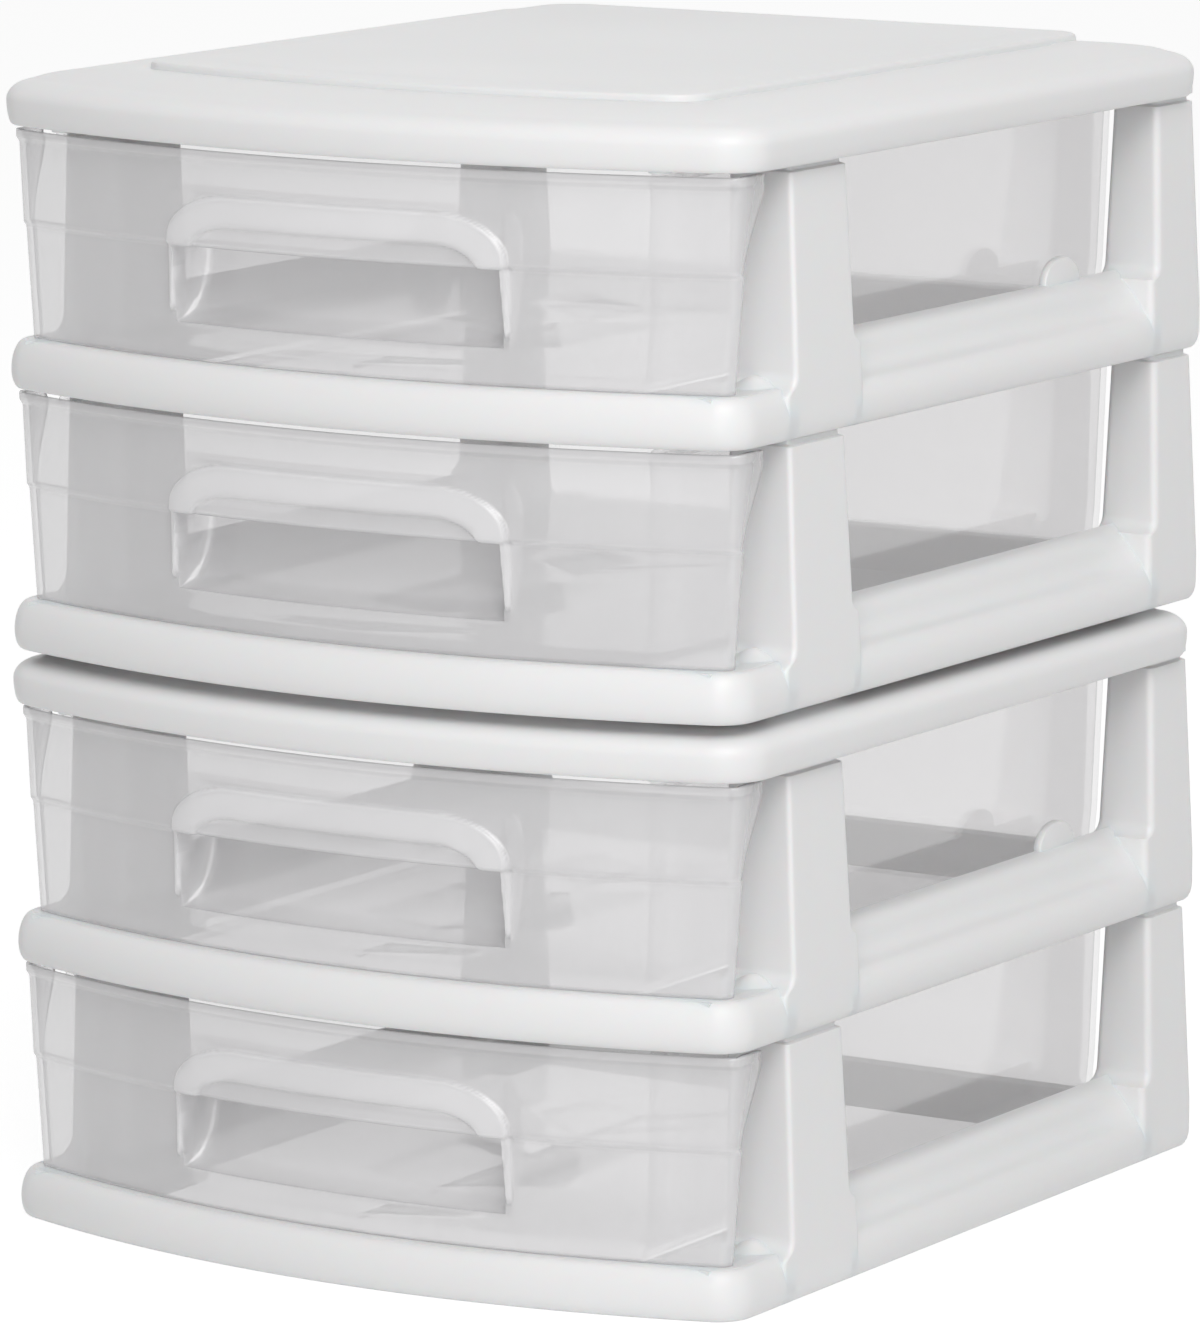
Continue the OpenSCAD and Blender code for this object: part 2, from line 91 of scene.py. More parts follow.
FRAME_BODY = {
    "lower_base_frame": "lower_unit", "lower_middle_frame": "lower_unit",
    "upper_base_frame": "upper_unit", "upper_middle_frame": "upper_unit",
}
COVER_BODY = {"lower_cover": "lower_unit", "upper_cover": "upper_unit"}
DRAWERS = ("drawer_1", "drawer_2", "drawer_3", "drawer_4")


# ---------------------------------------------------------------- curves and surfaces


def smooth(t):
    """0 below 0, 1 above 1, and an even S-curve between."""
    t = np.clip(t, 0, 1)
    return t * t * (3 - 2 * t)


def arc(cx, cy, rx, ry, a0, a1, n):
    """Points along an oval arc about (cx, cy) from angle a0 to a1 in degrees."""
    a = np.radians(np.linspace(a0, a1, n))
    return np.stack([cx + rx * np.cos(a), cy + ry * np.sin(a)], 1)


def bend(p, c, q, n):
    """Points along the curve from p to q that leaves towards c."""
    t = np.linspace(0, 1, n)[:, None]
    p, c, q = np.array(p, float), np.array(c, float), np.array(q, float)
    return (1 - t) ** 2 * p + 2 * t * (1 - t) * c + t * t * q


def softened(points, radii, n):
    """A closed outline with softened corners: each corner becomes the curve between the points
    one radius before and after it, with a holding point at one and a half radii on both sides.
    On a short edge the curve and its holding points stay short of the edge's middle."""
    p = np.asarray(points, float)
    r = np.broadcast_to(np.asarray(radii, float), len(p))[:, None]
    back = np.roll(p, 1, 0) - p
    on = np.roll(p, -1, 0) - p
    len_back = np.linalg.norm(back, axis=1, keepdims=True)
    len_on = np.linalg.norm(on, axis=1, keepdims=True)
    back, on = back / len_back, on / len_on
    curve_most, hold_most = 0.45, 0.49
    a = p + back * np.minimum(r, len_back * curve_most)
    b = p + on * np.minimum(r, len_on * curve_most)
    hold_a = p + back * np.minimum(r * 1.5, len_back * hold_most)
    hold_b = p + on * np.minimum(r * 1.5, len_on * hold_most)
    t = np.linspace(0, 1, n)[None, :, None]
    curve = (1 - t) ** 2 * a[:, None] + 2 * t * (1 - t) * p[:, None] + t * t * b[:, None]
    return np.concatenate([hold_a[:, None], curve, hold_b[:, None]], 1).reshape(-1, 2)


def rounded_box(x0, x1, y0, y1, r):
    """Rounded rectangles, one row for each set of bounds: four corner arcs of radius r joined by
    straight sides, with a holding point beside each arc."""
    x0, x1, y0, y1, r = np.broadcast_arrays(*[np.atleast_1d(np.asarray(v, float))
                                              for v in (x0, x1, y0, y1, r)])
    quarter = np.radians(np.linspace(0, 90, 5))
    hold = 0.8
    centres = ((x1 - r, y1 - r), (x0 + r, y1 - r), (x0 + r, y0 + r), (x1 - r, y0 + r))
    rows = []
    for k, (cx, cy) in enumerate(centres):
        a = quarter + k * math.pi / 2
        x = cx[:, None] + r[:, None] * np.cos(a)
        y = cy[:, None] + r[:, None] * np.sin(a)
        s, c = round(math.sin(k * math.pi / 2)), round(math.cos(k * math.pi / 2))
        x = np.concatenate([x[:, :1] + s * hold, x, x[:, -1:] - c * hold], 1)
        y = np.concatenate([y[:, :1] - c * hold, y, y[:, -1:] - s * hold], 1)
        rows.append(np.stack([x, y], 2))
    return np.concatenate(rows, 1)


def corner_depth(w, bow, r):
    """Y of the centre of a front corner of radius r that touches the side at w and the bow."""
    return BOW_CY - np.sqrt((bow - r) ** 2 - (w - r) ** 2)


def plan(w, bow, back, rf, rb, n_bow, n_corner, n_side):
    """Closed plan outlines, one row for each set of values: an arc of radius bow across the
    front, corner arcs of radius rf, straight sides at w, corner arcs of radius rb, straight back."""
    w, bow, back, rf, rb = np.broadcast_arrays(*[np.atleast_1d(np.asarray(v, float))
                                                 for v in (w, bow, back, rf, rb)])
    cy = corner_depth(w, bow, rf)
    a = np.arcsin((w - rf) / (bow - rf))

    def swept(cx, c_y, r, a0, a1, n):
        """Arcs of radius r about (cx, c_y) from angle a0 to a1."""
        t = a0[:, None] + (a1 - a0)[:, None] * np.linspace(0, 1, n)[None]
        return np.stack([cx[:, None] + r[:, None] * np.cos(t), c_y[:, None] + r[:, None] * np.sin(t)], 2)

    def straight(p, q, n):
        """The n even points between p and q."""
        t = np.linspace(0, 1, n + 2)[None, 1:-1, None]
        return p[:, None] * (1 - t) + q[:, None] * t

    down = np.full_like(w, 1.5 * math.pi)
    zero = np.zeros_like(w)
    quarter = np.full_like(w, 0.5 * math.pi)
    front = swept(zero, np.full_like(w, BOW_CY), bow, down - a, down + a, n_bow)
    right = swept(w - rf, cy, rf, down + a, down + quarter, n_corner)[:, 1:]
    rear = swept(w - rb, back - rb, rb, zero, quarter, n_corner)
    side = straight(right[:, -1], rear[:, 0], n_side)
    half = np.concatenate([right, side, rear], 1)
    mirror = half[:, ::-1] * np.array([-1.0, 1.0])
    back_line = straight(half[:, -1], mirror[:, 0], n_side)
    return np.concatenate([front, half, back_line, mirror], 1)


def lift(outlines, z):
    """Adds a height to each row of plan outlines."""
    zz = np.broadcast_to(np.asarray(z, float)[:, None, None], outlines.shape[:2] + (1,))
    return np.concatenate([outlines, zz], 2)


def straight_rows(section, along, edge, across_back=False):
    """A section carried in a straight line, one row for each place along it. Each point of the
    section stands its inset in from the edge: the line runs from front to back beside the right
    side at x = edge, or from left to right before the back at y = edge."""
    section = np.broadcast_to(section, (len(along),) + section.shape[-2:])
    place = np.broadcast_to(along[:, None], section.shape[:2])
    beside = edge - section[..., 0]
    x, y = (place, beside) if across_back else (beside, place)
    return np.stack([x, y, section[..., 1]], 2)


def turn(n):
    """n even angles of a full turn, without the last one that would repeat the first."""
    return np.radians(np.linspace(0, 360, n + 1)[:-1])


def grid_faces(m, n, wrap_rows, wrap_cols):
    """Quads of a grid of m rows and n columns, joined end to end where wrapped."""
    i = np.arange(m if wrap_rows else m - 1)
    j = np.arange(n if wrap_cols else n - 1)
    i, j = np.meshgrid(i, j, indexing="ij")
    i2, j2 = (i + 1) % m, (j + 1) % n
    return np.stack([i * n + j, i * n + j2, i2 * n + j2, i2 * n + j], 2).reshape(-1, 4)


class Surfaces:
    """Collects grids of points, in millimetres, into one mesh."""

    def __init__(self):
        self.points, self.faces, self.milk, self.count = [], [], [], 0

    def grid(self, p, wrap_rows=False, wrap_cols=False, caps=False, flip=False, milk=0.0):
        """Adds a grid of shape rows, columns, 3. caps closes its first and last row to their
        middle points. milk says how cloudy a clear plastic is at each point, 0 to 1."""
        p = np.asarray(p, float)
        m, n = p.shape[:2]
        f = grid_faces(m, n, wrap_rows, wrap_cols)
        flat = p.reshape(-1, 3)
        cloud = np.broadcast_to(milk, (m, n)).reshape(-1)
        if caps:
            j = np.arange(n)
            k = (j + 1) % n
            lo, hi = len(flat), len(flat) + 1
            flat = np.concatenate([flat, [p[0].mean(0), p[-1].mean(0)]])
            cloud = np.concatenate([cloud, cloud[:2]])
            last_row = (m - 1) * n
            first = np.stack([k, j, np.full(n, lo), np.full(n, lo)], 1)
            last = np.stack([j + last_row, k + last_row, np.full(n, hi), np.full(n, hi)], 1)
            f = np.concatenate([f, first, last])
        if flip:
            f = f[:, ::-1]
        self.points.append(flat)
        self.milk.append(cloud)
        self.faces.append(f + self.count)
        self.count += len(flat)

    def both_sides(self, p, **options):
        """Adds a grid and its mirror image in the middle plane."""
        self.grid(p, **options)
        options["flip"] = not options.get("flip", False)
        self.grid(np.asarray(p) * np.array([-1.0, 1.0, 1.0]), **options)

    def to_object(self, name, z0, outward=True, sharp=38.0):
        """Makes the object: doubles merged, faces outwards, smooth with its sharp edges kept."""
        points = np.concatenate(self.points) + np.array([0, 0, z0])
        faces = np.concatenate(self.faces)
        mesh = bpy.data.meshes.new(name)
        mesh.from_pydata((points * MM).tolist(), [], [tuple(dict.fromkeys(f)) for f in faces.tolist()])
        cloud = mesh.attributes.new("milk", "FLOAT", "POINT")
        cloud.data.foreach_set("value", np.concatenate(self.milk).astype(np.float32))
        bm = bmesh.new()
        bm.from_mesh(mesh)
        bmesh.ops.remove_doubles(bm, verts=bm.verts, dist=2e-6)
        bmesh.ops.dissolve_degenerate(bm, edges=bm.edges, dist=1e-7)
        if outward:
            bmesh.ops.recalc_face_normals(bm, faces=bm.faces)
        bm.to_mesh(mesh)
        bm.free()
        mesh.shade_smooth()
        mesh.set_sharp_from_angle(angle=math.radians(sharp))
        obj = bpy.data.objects.new(name, mesh)
        bpy.context.scene.collection.objects.link(obj)
        return obj


# ---------------------------------------------------------------- frames


def roll_outline():
    """Outer side of the ring's section as distance in and height: a short foot, the fullest line
    at 6 mm, and a long shoulder that falls in to the top."""
    foot = arc(FOOT_IN, FULLEST_Z, FOOT_IN, FULLEST_Z, 270, 180, 9)
    shoulder = arc(5, FULLEST_Z, 5, RING_H - FULLEST_Z, 180, 92, 12)
    return np.concatenate([foot, shoulder[1:]])


def ring_section():
    """Closed section of the ring: the roll outside, a wall inside, and an open channel below."""
    inside = [(5.3, RING_H), (11.5, RING_H), (11.5, 0), (9.1, 0), (9.1, 13.4), (5.8, 13.4),
              (2.4, FULLEST_Z), (4.9, 0)]
    radii = [0.1, 0.9, 0.5, 0.5, 1.5, 2.5, 3, 0.4]
    return np.concatenate([roll_outline(), softened(inside, radii, 4)])


def front_path(inset, w, r, y_end):
    """Path of the bowed front at each inset: side, corner arc, bow, corner arc, side."""
    n_bow, n_corner, n_side = 97, 15, 9
    full = plan(w - inset, BOW_R - inset, 60, np.maximum(r - inset, 0.6), 5, n_bow, n_corner, 1)
    front, right = full[:, :n_bow], full[:, n_bow:n_bow + n_corner - 1]
    t = np.linspace(0, 1, n_side)[None, 1:, None]
    end = np.stack([w - inset, np.full(len(inset), y_end)], 1)
    side = right[:, -1:] * (1 - t) + end[:, None] * t
    right = np.concatenate([right, side], 1)
    left = right[:, ::-1] * np.array([-1.0, 1.0])
    return np.concatenate([left, front, right], 1)


def rail_section(fill):
    """Closed sections of a side rail, one for each value of fill. The outer side runs over the
    roll, a waist and a rounded top; fill takes the waist out and leaves an even slope."""
    fill = np.atleast_1d(fill)[:, None, None]
    top_in = 16.4
    roll = arc(FOOT_IN, FULLEST_Z, FOOT_IN, FULLEST_Z, 270, 180, 7)
    waisted = np.concatenate([
        roll,
        bend((0, FULLEST_Z), (0.1, 11.2), (3.6, 14), 7)[1:],
        bend((3.6, 14), (8.6, 16.2), (9.4, 21.5), 9)[1:],
        bend((9.4, 21.5), (10.2, 27.6), (top_in, RAIL_H), 9)[1:],
    ])
    sloped = np.concatenate([
        roll,
        bend((0, FULLEST_Z), (0.0, 10.5), (1.6, 13.2), 7)[1:],
        bend((1.6, 13.2), (4.6, 18.2), (8.0, 21.6), 9)[1:],
        bend((8.0, 21.6), (12.6, 26.6), (top_in, RAIL_H), 9)[1:],
    ])
    outer = waisted[None] * (1 - fill) + sloped[None] * fill
    inner = softened([(17.5, RAIL_H), (17.5, 0), (15.1, 0), (15.1, 25), (12.4, 24.5), (10.9, 17.5),
                      (5, 12.2), (2.4, FULLEST_Z), (4.9, 0)], [0.9, 0.4, 0.4, 1.2, 1.5, 2, 2.5, 3, 0.4], 4)
    inner = np.broadcast_to(inner[None], (len(fill),) + inner.shape)
    return np.concatenate([outer, inner], 1)


def post_rows():
    """Heights of a post's rows, closer at the foot, the fillet and the joint line at the top."""
    foot = FULLEST_Z * (1 - np.cos(np.radians(np.linspace(0, 90, 6))))
    joint = [82.2, 82.5, 82.8, 83.1, 83.5, 84.55]
    return np.concatenate([
        foot, np.linspace(8, 15.5, 6), np.linspace(RING_H, 34, 25), np.linspace(38, 80, 11), joint,
    ])


def seam(z, depth):
    """How far a post's top edge stands in, which leaves a fine joint line under the next part: it
    comes in along an S-curve between 82.4 and 83.2 mm."""
    return depth * smooth((z - 82.4) / 0.8)


def outer_line(full, z):
    """Outer face of a post: rounded foot, fullest from 6 to 16 mm, then leaning in to its top."""
    below = (FULLEST_Z - np.minimum(z, FULLEST_Z)) / FULLEST_Z
    foot = FOOT_IN * (1 - np.sqrt(np.clip(1 - below ** 2, 0, 1)))
    return full - foot - POST_LEAN * np.clip((z - RING_H) / (LEVEL_H - RING_H), 0, 1)


def fillet(z, foot, size):
    """How far a quarter-round fillet of that size stands out at height z above its foot."""
    t = np.clip((foot + size - z) / size, 0, 1)
    return size * (1 - np.sqrt(1 - t * t))


def front_post(s, joint_line):
    """Front post: a rounded box whose back and outer side lean in by a share of the height, with
    quarter-round fillets where it stands on the ring and the rail."""
    inner, _, front, back = POST_TOPS["front"]
    on_ring, on_rail = RING_H - 0.8, RAIL_H - 0.8
    slope = 4.5
    z = post_rows()
    top = seam(z, joint_line)
    y1 = back + slope * (1 - z / LEVEL_H) + fillet(z, on_rail, 3.5) - top
    y0 = front - fillet(z, on_ring, 5.5) + top
    x1 = outer_line(FRAME_HW, z) - top
    x0 = inner - fillet(z, on_ring, 2.5) + top
    s.both_sides(lift(rounded_box(x0, x1, y0, y1, 1.5), z), wrap_cols=True, caps=True)


def rear_post(s, joint_line):
    """Rear post: as the front one, but its inner side and its front spread towards its foot."""
    inner, _, front, _ = POST_TOPS["rear"]
    on_ring, on_rail = RING_H - 0.8, RAIL_H - 2
    side_slope, front_slope = 3.2, 2.7
    z = post_rows()
    down = 1 - z / LEVEL_H
    top = seam(z, joint_line)
    x1, y1 = outer_line(FRAME_HW, z) - top, outer_line(BACK_Y, z) - top
    x0 = inner - side_slope * down - fillet(z, on_ring, 3) + top
    y0 = front - front_slope * down - fillet(z, on_rail, 4.5) + top
    s.both_sides(lift(rounded_box(x0, x1, y0, y1, 2.2), z), wrap_cols=True, caps=True)


def plugs(s):
    """The plug on each post: a small rounded box, a wall and a clearance in from the post's faces,
    whose top edge comes in along a short curve."""
    z = LEVEL_H + np.array([-1.0, 0, PLUG_H - 0.8, PLUG_H - 0.3, PLUG_H - 0.1, PLUG_H])
    k = PLUG_INSET + np.array([0, 0, 0, 0.15, 0.4, 0.8])
    for x0, x1, y0, y1 in POST_TOPS.values():
        s.both_sides(lift(rounded_box(x0 + k, x1 - k, y0 + k, y1 - k, 1.5), z), wrap_cols=True, caps=True)


def side_rails(s):
    """The side rails: the section carried from post to post, its waist filling in at the back."""
    y = np.concatenate([np.linspace(-66, 96, 28), np.linspace(98, 132, 24)])
    section = rail_section(smooth((y - 104) / 26) ** 1.2)
    s.both_sides(straight_rows(section, y, FRAME_HW), wrap_cols=True, caps=True)


def rear_rail(s):
    """The rear rail: the ring's section carried straight between the rear posts."""
    x = np.linspace(-119, 119, 30)
    s.grid(straight_rows(ring_section(), x, BACK_Y, across_back=True), wrap_cols=True, caps=True)


def ledges(s):
    """The drawer ledges: a flat plate with a turned-down inner edge along each side, a touch lower
    than the ring so that their tops don't share one plane."""
    top = RING_H - 0.12
    section = softened([(10.4, top), (35.5, top), (35.5, 10), (33.1, 10), (33.1, 13.6), (10.4, 13.6)],
                       [0.2, 1.2, 0.6, 0.6, 1.5, 0.2], 5)
    s.both_sides(straight_rows(section, np.linspace(-136, 150, 24), FRAME_HW), wrap_cols=True, caps=True)


def humps(s):
    """Half-round hump on each rail: a thin disc with softened edges, of oval outline about its
    place on the rail's top, cut off just below that top."""
    place_y, place_z = 91.0, RAIL_H - 0.1
    a = np.radians(np.linspace(-8, 188, 30))
    k = np.array([0.9, 0.3, 0.0, 0.0, 0.3, 0.9])
    x = np.array([122.0, 122.15, 122.6, 124.4, 124.85, 125.0])
    r_y, r_z = 11.5 - k, 8.4 - k
    rows = np.stack([np.broadcast_to(x[:, None], (len(x), len(a))), place_y + r_y[:, None] * np.cos(a),
                     place_z + np.maximum(r_z[:, None] * np.sin(a), -1.5)], 2)
    s.both_sides(rows, wrap_cols=True, caps=True)


def domes(s, rise):
    """Soft swelling on the ring before each front post: a bell that sinks into the ring. Its
    height falls along an S-curve from its middle to its oval rim."""
    place_x, place_y = 125.5, -104.5
    r_x, r_y = 10.5, 10.0
    rho = np.linspace(0.05, 1, 16)[:, None]
    a = turn(36)[None]
    height = RING_H - 0.8 + rise * (1 - smooth(rho))
    rows = np.stack([place_x + r_x * rho * np.cos(a), place_y + r_y * rho * np.sin(a),
                     height + np.zeros_like(a)], 2)
    s.both_sides(rows, wrap_cols=True, caps=True, flip=True)


def frame_surfaces(has_humps, sizes):
    """One frame's surfaces, the bowed ring first; only the middle frames carry humps."""
    s = Surfaces()
    section = ring_section()
    corner_r, end_y = 14.0, -100.5
    path = front_path(section[:, 0], FRAME_HW, corner_r, end_y)
    s.grid(lift(path, section[:, 1]), wrap_rows=True)
    front_post(s, sizes.joint_line / MM)
    rear_post(s, sizes.joint_line / MM)
    plugs(s)
    side_rails(s)
    rear_rail(s)
    ledges(s)
    if has_humps:
        humps(s)
    domes(s, sizes.dome_rise / MM)
    return s


# ---------------------------------------------------------------- covers


def cover_rows():
    """Rows of the cover from the middle of its underside, round the edge, over the shoulder and a
    fine groove to the middle of its top: inset and height."""
    top = COVER_H
    under = [(60, 15.6), (38, 15.6), (24, 15.5), (16, 13.6), (10, 12.1), (6.4, 11.5), (3.9, 10.2),
             (2.5, 8), (3.2, 4), (4.3, 0.2), (4.1, 0.0)]
    foot = arc(2, 8, 2, 8, 268, 180, 10)
    edge = arc(9.6, 8, 9.6, 6.5, 180, 106, 12)[1:]
    shoulder = bend((8.2, 14.5), (17, top - 0.4), (30, top), 12)
    groove = [(35.4, top), (35.9, top - 0.1), (36.3, top - 0.5), (37.2, top - 0.6),
              (60, top - 0.6), (110, top - 0.6)]
    return np.concatenate([under, foot, edge, shoulder, groove])


def panel_rows():
    """Rows of the raised panel, from inside the shoulder up its steep side, over a low second step
    to its middle: insets from side, front and back, and height."""
    hidden = [(110, 112, 100, 16.0), (60, 60, 40, 15.95), (37.4, 38.2, 15.3, 15.9)]
    side = [(37.5, 38.3, 15.4, 16.6), (37.7, 38.5, 15.7, 18.6), (38.0, 38.8, 16.0, 19.5),
            (38.5, 39.3, 16.5, 19.85), (39.6, 40.6, 17.6, 19.95)]
    rim = [(44, 46, 22, 20.0), (49, 50.5, 26, 20.02)]
    step = [(50.5, 52, 27, 20.12), (52, 53.5, 28, 20.36), (53.5, 55, 29, 20.45)]
    middle = [(58, 60, 33, 20.5), (90, 90, 70, 20.5), (118, 122, 110, 20.5)]
    return np.array(hidden + side + rim + step + middle, float)


def corner_radii(inset):
    """Radii of a cover outline's front and rear corners at an inset. Both shrink with the inset
    near the edge and grow again evenly over the shoulder and the panel."""
    least = 3.0
    front = np.where(inset < 15, np.maximum(18 - inset, least),
                     np.interp(inset, [15, 34, 37, 50], [least, 12, 14, 20]))
    rear = np.where(inset < 13, np.maximum(16 - inset, least),
                    np.interp(inset, [13, 34, 37, 60], [least, 8, 12, 16]))
    return front, rear


def cover_outlines(side, front, back):
    """Plan outlines of the cover at insets from its sides, front and back."""
    return plan(HALF_W - side, BOW_R - front, BACK_Y - back, *corner_radii(side), 97, 15, 25)


def collars(s):
    """Collars that take the posts below: a rounded box's wall, out, round and in, open underneath."""
    z = np.array([9.0, 0.3, 0.0, 0.0, 0.3, 9.0])
    k = np.array([2.4, 2.4, 2.1, 0.3, 0.0, 0.0])
    for x0, x1, y0, y1 in POST_TOPS.values():
        s.both_sides(lift(rounded_box(x0 + k, x1 - k, y0 + k, y1 - k, 1.4), z), wrap_cols=True)


def stops(s):
    """Small round drawer stops under the front edge: discs with a softened lower edge."""
    place_x = 112.0
    place_y = BOW_CY - math.sqrt(FRONT_R ** 2 - place_x ** 2)
    z = np.array([4.0, -0.5, -0.72, -0.8])
    r = (3.6 - np.array([0, 0, 0.12, 0.4]))[:, None]
    a = turn(32)
    rows = np.stack([place_x + r * np.cos(a), place_y + r * np.sin(a)], 2)
    s.both_sides(lift(rows, z), wrap_cols=True, caps=True)


def cover_surfaces():
    """One cover's surfaces: the shell, the raised panel, the collars and the stops."""
    s = Surfaces()
    inset, z = cover_rows().T
    s.grid(lift(cover_outlines(inset, inset, inset), z), wrap_cols=True, caps=True)
    side, front, back, z = panel_rows().T
    s.grid(lift(cover_outlines(side, front, back), z), wrap_cols=True, caps=True)
    collars(s)
    stops(s)
    return s


# ---------------------------------------------------------------- drawers


# Front panel: heights of its foot, crease and rim; half its width at foot and rim; the radius of
# its side edges; and the half width within which the grid's columns stand upright
FOOT_Z = 16.25
CREASE_Z = 52.5
RIM_Z = 83.5
FRONT_HW_FOOT = 133.0
FRONT_HW_RIM = 138.0
EDGE_R = 4.0
UPRIGHT_HW = 66.0

# Pull: half width, top, and the corner's half width and height of its outer and inner arch
OUTER_ARCH = (64.0, 70.0, 27.0, 15.0)
INNER_ARCH = (54.5, 59.5, 17.0, 9.5)
LEG_Z = 31.0

# Finger scoop: half width, foot, full depth, and how far above the crease its round ends
SCOOP_HW = 61.5
SCOOP_Z = 28.0
SCOOP_D = 14.4
SCOOP_OVER = 2.0
SCOOP_SIDE = 6.0

# How cloudy the front is: all over, and added in the pull, under its arch and in the lip; a cloudier line
# on the crease
#  that paints the crease's highlight; how cloudy the scoop's back is; and the fade of the last columns
#  round the side edges
PANEL_MILK = 0.40
PULL_MILK = 0.24
ARCH_MILK = 0.03
# Painted highlight: extra cloudiness in a thin line along the crease stands in for the light that the fold
# catches
CREASE_HIGHLIGHT_MILK = 0.24
LIP_MILK = 0.10
SCOOP_MILK = 0.10
EDGE_FADE = (0.35, 0.4, 0.5, 0.75)

# Tub: height of its floor, half width beside the floor and at the top of its wall, back, radius of
# its rear corners there, and radius of its floor's edge
FLOOR_Z = 16.3
TUB_HW_FLOOR = 107.7
TUB_HW_TOP = 110.5
TUB_BACK_Y = 153.0
TUB_CORNER_R = 6.0
TUB_EDGE_R = 5.0


def panel_radius(z):
    """Radius of the front panel's outer face: leaning out from its foot to the crease, stepping
    out above it, upright, and standing out again in the lip along the top."""
    heights = [FOOT_Z, CREASE_Z - 0.2, CREASE_Z + 0.5, CREASE_Z + 1.1, 79.2, 80.0, 81.0, 83.0, RIM_Z]
    out = np.array([-2.0, -1.2, -0.5, 0, 0, 0.6, 1.4, 1.4, 1.1])
    return np.interp(z, heights, FRONT_R + out)


def arch_distance(x, z, w, top, rx, rz):
    """How far a point of the front lies outside an arch with oval corners; below zero inside. In a
    corner it is the distance in units of the oval, times the oval's radius in that direction."""
    sx = np.maximum(np.abs(x) - (w - rx), 0) / rx
    sz = np.maximum(z - (top - rz), 0) / rz
    q = np.sqrt(sx ** 2 + sz ** 2)
    radius = (rx * sx ** 2 + rz * sz ** 2) / np.maximum(sx ** 2 + sz ** 2, 1e-9)
    return np.where(q > 1e-6, (q - 1) * np.where(q > 1e-6, radius, rx), -rx)


def pull_relief(x, z):
    """Height of the arched pull's bead: 2 mm between the outer and the inner arch above the crease,
    and two lower legs that narrow below it. S-curves round its edges."""
    outer = arch_distance(x, z, *OUTER_ARCH)
    inner = arch_distance(x, z, *INNER_ARCH)
    cut = CREASE_Z - 3.4 + 0.3 * np.clip(OUTER_ARCH[0] - np.abs(x), 0, 10)
    bead = smooth(-outer / 1.3) * smooth((inner + 0.6) / 1.3) * smooth((z - cut) / 0.9)
    leg_w = np.interp(z, [LEG_Z, CREASE_Z - 4], [2.2, 3.6])
    leg = smooth(-outer / 1.1) * smooth((leg_w + outer) / 1.1) * smooth((z - LEG_Z) / 1.6)
    return np.maximum(bead * 2.0, leg * 1.7 * (np.abs(x) > 50))


def cloudiness(x, z):
    """How cloudy the front is at a point: even over the panel, more in the pull's bead and legs,
    in the lip, a little more under the arch, and a bell-shaped cloudier line along the crease that is a
    painted highlight."""
    outer = arch_distance(x, z, *OUTER_ARCH)
    under_arch = smooth(-outer / 1.5) * smooth((z - CREASE_Z) / 0.6)
    # Painted highlight along the crease: a thin bell-shaped line of extra cloudiness that draws the fold's
    # bright line
    crease = np.exp(-((z - CREASE_Z - 0.5) / 0.75) ** 2) * smooth(outer / 1.5)
    lip = smooth((z - 80.4) / 0.6)
    return (PANEL_MILK + PULL_MILK * smooth(pull_relief(x, z) / 1.2) + ARCH_MILK * under_arch
            + CREASE_HIGHLIGHT_MILK * crease + LIP_MILK * lip)


def scoop_depth(z):
    """Depth of the finger scoop at a height: a quarter oval from its foot up to above the crease."""
    reach = CREASE_Z + SCOOP_OVER - SCOOP_Z
    return SCOOP_D * np.sqrt(np.clip(1 - ((CREASE_Z + SCOOP_OVER - z) / reach) ** 2, 0, 1))


def scoop_side(x):
    """Share of the scoop's depth across it: full in the middle, with steep round sides."""
    past = np.clip((np.abs(x) - (SCOOP_HW - SCOOP_SIDE)) / SCOOP_SIDE, 0, 1)
    return np.sqrt(np.clip(1 - past ** 2, 0, 1))


def low_relief(x, z):
    """Relief of the sheet below the crease: the scoop, with the pull's legs beside it."""
    return pull_relief(x, z) * (np.abs(x) >= SCOOP_HW - 1.2) - scoop_depth(z) * scoop_side(x)


def across():
    """Distances across the front, closer where the pull's bead turns."""
    right = np.concatenate([np.linspace(0, 36, 10)[:-1], np.linspace(36, 52, 17)[:-1],
                            np.linspace(52, UPRIGHT_HW, 29)[:-1], np.linspace(UPRIGHT_HW, 128, 17)])
    return np.concatenate([-right[:0:-1], right])


def share_up(z):
    """Height as a share of the front, 0 at its foot and 1 at its rim."""
    return (z - FOOT_Z) / (RIM_Z - FOOT_Z)


def on_bow(x, r):
    """Depth of the point at x on a bow of radius r."""
    return BOW_CY - np.sqrt(r ** 2 - x ** 2)


def panel_points(x_even, z, relief):
    """Points of the front panel: the columns beyond the upright ones spread evenly to the tapered
    side edge, and relief is added to the panel's radius."""
    half = FRONT_HW_FOOT + (FRONT_HW_RIM - FRONT_HW_FOOT) * share_up(z) - EDGE_R
    share = (np.abs(x_even) - UPRIGHT_HW) / (x_even.max() - UPRIGHT_HW)
    spread_x = np.sign(x_even) * (UPRIGHT_HW + share * (half - UPRIGHT_HW))
    x = np.where(np.abs(x_even) <= UPRIGHT_HW, x_even, spread_x)
    return np.stack([x, on_bow(x, panel_radius(z) + relief(x, z)), z + np.zeros_like(x)], 2)


